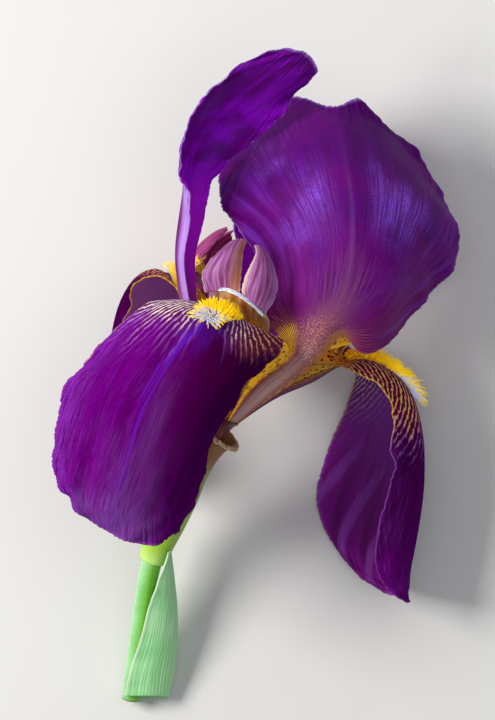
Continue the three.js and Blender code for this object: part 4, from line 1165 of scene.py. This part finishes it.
for side, bearing in FALL_BEARING.items():
    filament_line = [on_bloom(bearing, out, up) for out, up in FILAMENT_PATH]
    anther_line = [on_bloom(bearing, out, up) for out, up in ANTHER_PATH]
    filament = rolled(f"{side}_stamen", filament_line, filament_radius, 24, 12)
    anther = rolled(f"{side}_anther", anther_line, anther_radius, 30, 24, ribs=2, rib_height=0.2)
    finish_piece(joined(filament, anther), f"{side}_stamen", "stamen", stamen_flesh)


# The beards: a dense crest of fleshy hairs down the middle of each fall, from the haft onto the blade.
# They are white at the foot and golden at the tip, and the foremost are whitish blue. BEARDS gives
# each one's middle along its fall and half its length, as shares of the fall's length.
BEARDS = {"front": (0.364, 0.09), "right": (0.43, 0.12), "back": (0.31, 0.065)}
BEARD_HALF_WIDTH = 0.12
BEARD_BEND = 0.07
HAIR_RADIUS = 0.22
HAIR_LENGTHS = {"front": 5, "right": 4.8, "back": 3.6}
HAIRS = 620
HAIR_NARROWING = (0.9, 0.8, 0.6)
HAIR_GOLD = srgb(255, 220, 20)
HAIR_ORANGE = srgb(196, 128, 22)
HAIR_WHITE = srgb(226, 228, 238)
HAIR_BLUE = srgb(206, 210, 232)

beard_hair, tree, shader = new_material("beard hair")
along_beard, up_hair, _ = surface_coordinates(tree)
tones = speckle(tree, 900.0)
gold = mix(rise(along_beard, 0.3, 0.9), HAIR_GOLD, HAIR_ORANGE)
gold = mix(rise(tones, 0.45, 0.7), gold, HAIR_GOLD)
pale = mix(rise(along_beard, 0.3, 0.1), HAIR_WHITE, HAIR_BLUE)
golden_from = rise(along_beard, 0.5, 0.04) * 0.75 + 0.05
colour = mix(rise(up_hair - golden_from, -0.1, 0.15), pale, gold)
# Orange at the feet of the hairs on the rear of the crest: partly their own tone, partly painted shade
# among them
foot_and_painted_shade = rise(up_hair, 0.45, 0.0) * rise(along_beard, 0.2, 0.5)
colour = mix(foot_and_painted_shade * 0.5, colour, HAIR_ORANGE)
# Painted glow: the hair colour also glows as emission, lifting the hairs out of their own shade
feed(shader.inputs["Emission Color"], colour)
finish_surface(tree, shader, colour, rise(tones, -0.6, 1.4), Emission_Strength=0.22, Specular_IOR_Level=0.2)


def grow_hair():
    for narrowing in HAIR_NARROWING:
        upwards = {"value": (0, 0, 1 / len(HAIR_NARROWING))}
        bpy.ops.mesh.extrude_region_move(TRANSFORM_OT_translate=upwards)
        bpy.ops.transform.resize(value=(narrowing, narrowing, 1))
    bpy.ops.mesh.select_all(action="SELECT")
    bpy.ops.mesh.normals_make_consistent(inside=False)


# One upright hair, 1 long and 1 in radius: a square rod in three lengths, narrowing to a blunt tip
bpy.ops.object.select_all(action="DESELECT")
bpy.ops.mesh.primitive_circle_add(vertices=4, radius=1, fill_type="NGON")
hair = bpy.context.object
edit(hair, grow_hair)
hair_points = np.array([tuple(vertex.co) for vertex in hair.data.vertices])
hair_faces = [tuple(face.vertices) for face in hair.data.polygons]
bpy.data.objects.remove(hair)


def beard(name, skin, middle, half_length, hair_length, seed):
    """Hairs rooted on a fall's skin. Along the crest they stand from -1 at its rear to 1 at its front."""
    rng = np.random.default_rng(seed)
    along, across = rng.uniform(-1, 1, (2, HAIRS))
    narrowing = np.sqrt(1 - 0.85 * along**2)
    foremost = np.clip(along - 0.2, 0, 1)
    u = middle + half_length * along
    v = 0.5 - BEARD_BEND * foremost + BEARD_HALF_WIDTH * across * narrowing * (1 - 0.8 * foremost)
    outward = skin.normals_at(u, v)
    ahead = unit(skin.at(u + 0.01, v) - skin.at(u - 0.01, v))
    sideways = np.cross(outward, ahead)
    # They spread to both sides and forward, droop towards their tips, and hang down on the lower side
    hanging = np.clip(across, 0, 1) * np.clip(0.9 - along, 0, 1)
    to_side = across * (0.45 + 1.6 * foremost) - 0.5 * hanging
    to_front = 0.1 + 0.25 * along + 0.8 * foremost
    lean = outward + to_side[:, None] * sideways + to_front[:, None] * ahead
    lean = unit(lean + 0.16 * rng.standard_normal((HAIRS, 3)))
    droop = 0.35 * ahead * (along + 0.6)[:, None] - 0.15 * outward + 0.12 * rng.standard_normal((HAIRS, 3))
    length = hair_length * (0.55 + 0.45 * narrowing * (1 - across**2) + 0.7 * foremost - 0.25 * hanging)
    length = length * rng.uniform(0.75, 1.1, HAIRS)
    # Every vertex of every hair: x and y across the hair, z up it, bent along its droop
    x, y, z = hair_points.T[:, None, :, None]
    bent = lean[:, None] * z + droop[:, None] * 0.5 * z**2
    across_hair = unit(np.cross(lean, ahead))
    girth = HAIR_RADIUS * (across_hair[:, None] * x + np.cross(lean, across_hair)[:, None] * y)
    places = skin.at(u, v)[:, None] + length[:, None, None] * bent + girth
    count = len(hair_points)
    faces = [[corner + count * hair for corner in face] for hair in range(HAIRS) for face in hair_faces]
    mesh = bpy.data.meshes.new(name)
    mesh.from_pydata((places.reshape(-1, 3) * MM).tolist(), [], faces)
    corners = np.zeros(len(mesh.loops), int)
    mesh.loops.foreach_get("vertex_index", corners)
    shares = np.stack([np.repeat(0.5 - 0.5 * along, count), np.tile(hair_points[:, 2], HAIRS)], axis=1)
    mesh.uv_layers.new(name="UVMap").data.foreach_set("uv", shares[corners].ravel())
    piece = bpy.data.objects.new(name, mesh)
    bpy.context.scene.collection.objects.link(piece)
    finish_piece(piece, name, "beard_hair", beard_hair)


for place, (side, skin) in enumerate(fall_skins.items()):
    beard(f"{side}_beard", skin, *BEARDS[side], HAIR_LENGTHS[side], seed=400 + place)


# The floor that the flower lies on, the soft studio lights and the camera that looks down on it.
FLOOR_SIZE = 6.0
FLOOR_TONE = (0.72, 0.71, 0.69, 1)
SKY_TINT = (0.9, 0.93, 1, 1)
SKY_STRENGTH = 0.25
bpy.ops.object.select_all(action="DESELECT")
bpy.ops.mesh.primitive_plane_add(size=FLOOR_SIZE)
floor = bpy.context.object
floor.name = "floor"
floor_paint, tree, shader = new_material("floor paint")
finish_surface(tree, shader, FLOOR_TONE, roughness=0.8)
floor.data.materials.append(floor_paint)

scene = bpy.context.scene
scene.view_settings.view_transform = "Standard"
world = bpy.data.worlds.new("studio")
world.use_nodes = True
sky = world.node_tree.nodes["Background"]
sky.inputs["Color"].default_value = SKY_TINT
sky.inputs["Strength"].default_value = SKY_STRENGTH
scene.world = world
VIEW_CENTRE = Vector((-3.1, 5.9, 50)) * MM


def softbox(name, place, size, watts, tint):
    """A square light that faces the flower. Its place and size are in metres."""
    light = bpy.data.lights.new(name, "AREA")
    light.size, light.energy, light.color = size, watts, tint
    lamp = bpy.data.objects.new(name, light)
    lamp.location = Vector(place)
    lamp.rotation_euler = (VIEW_CENTRE - lamp.location).to_track_quat("-Z", "Y").to_euler()
    scene.collection.objects.link(lamp)


softbox("key", (-0.8, 0.2, 0.9), size=0.45, watts=15, tint=(1, 0.98, 0.95))
softbox("fill", (0.15, 0.1, 1.3), size=0.8, watts=3, tint=(0.93, 0.95, 1))
softbox("rim", (0.1, 1.1, 0.4), size=0.6, watts=3, tint=(1, 1, 1))

# The camera is high up, so that the view has little perspective; sizes in metres, the sensor in mm
CAMERA_RISE = 4.0
VIEW_HEIGHT = 0.2376
SENSOR = 24
camera = bpy.data.cameras.new("camera")
camera.sensor_fit = "VERTICAL"
camera.sensor_height = SENSOR
camera.lens = SENSOR * CAMERA_RISE / VIEW_HEIGHT
camera.clip_end = 50
viewer = bpy.data.objects.new("camera", camera)
viewer.location = VIEW_CENTRE + Vector((0, 0, CAMERA_RISE))
scene.collection.objects.link(viewer)
scene.camera = viewer
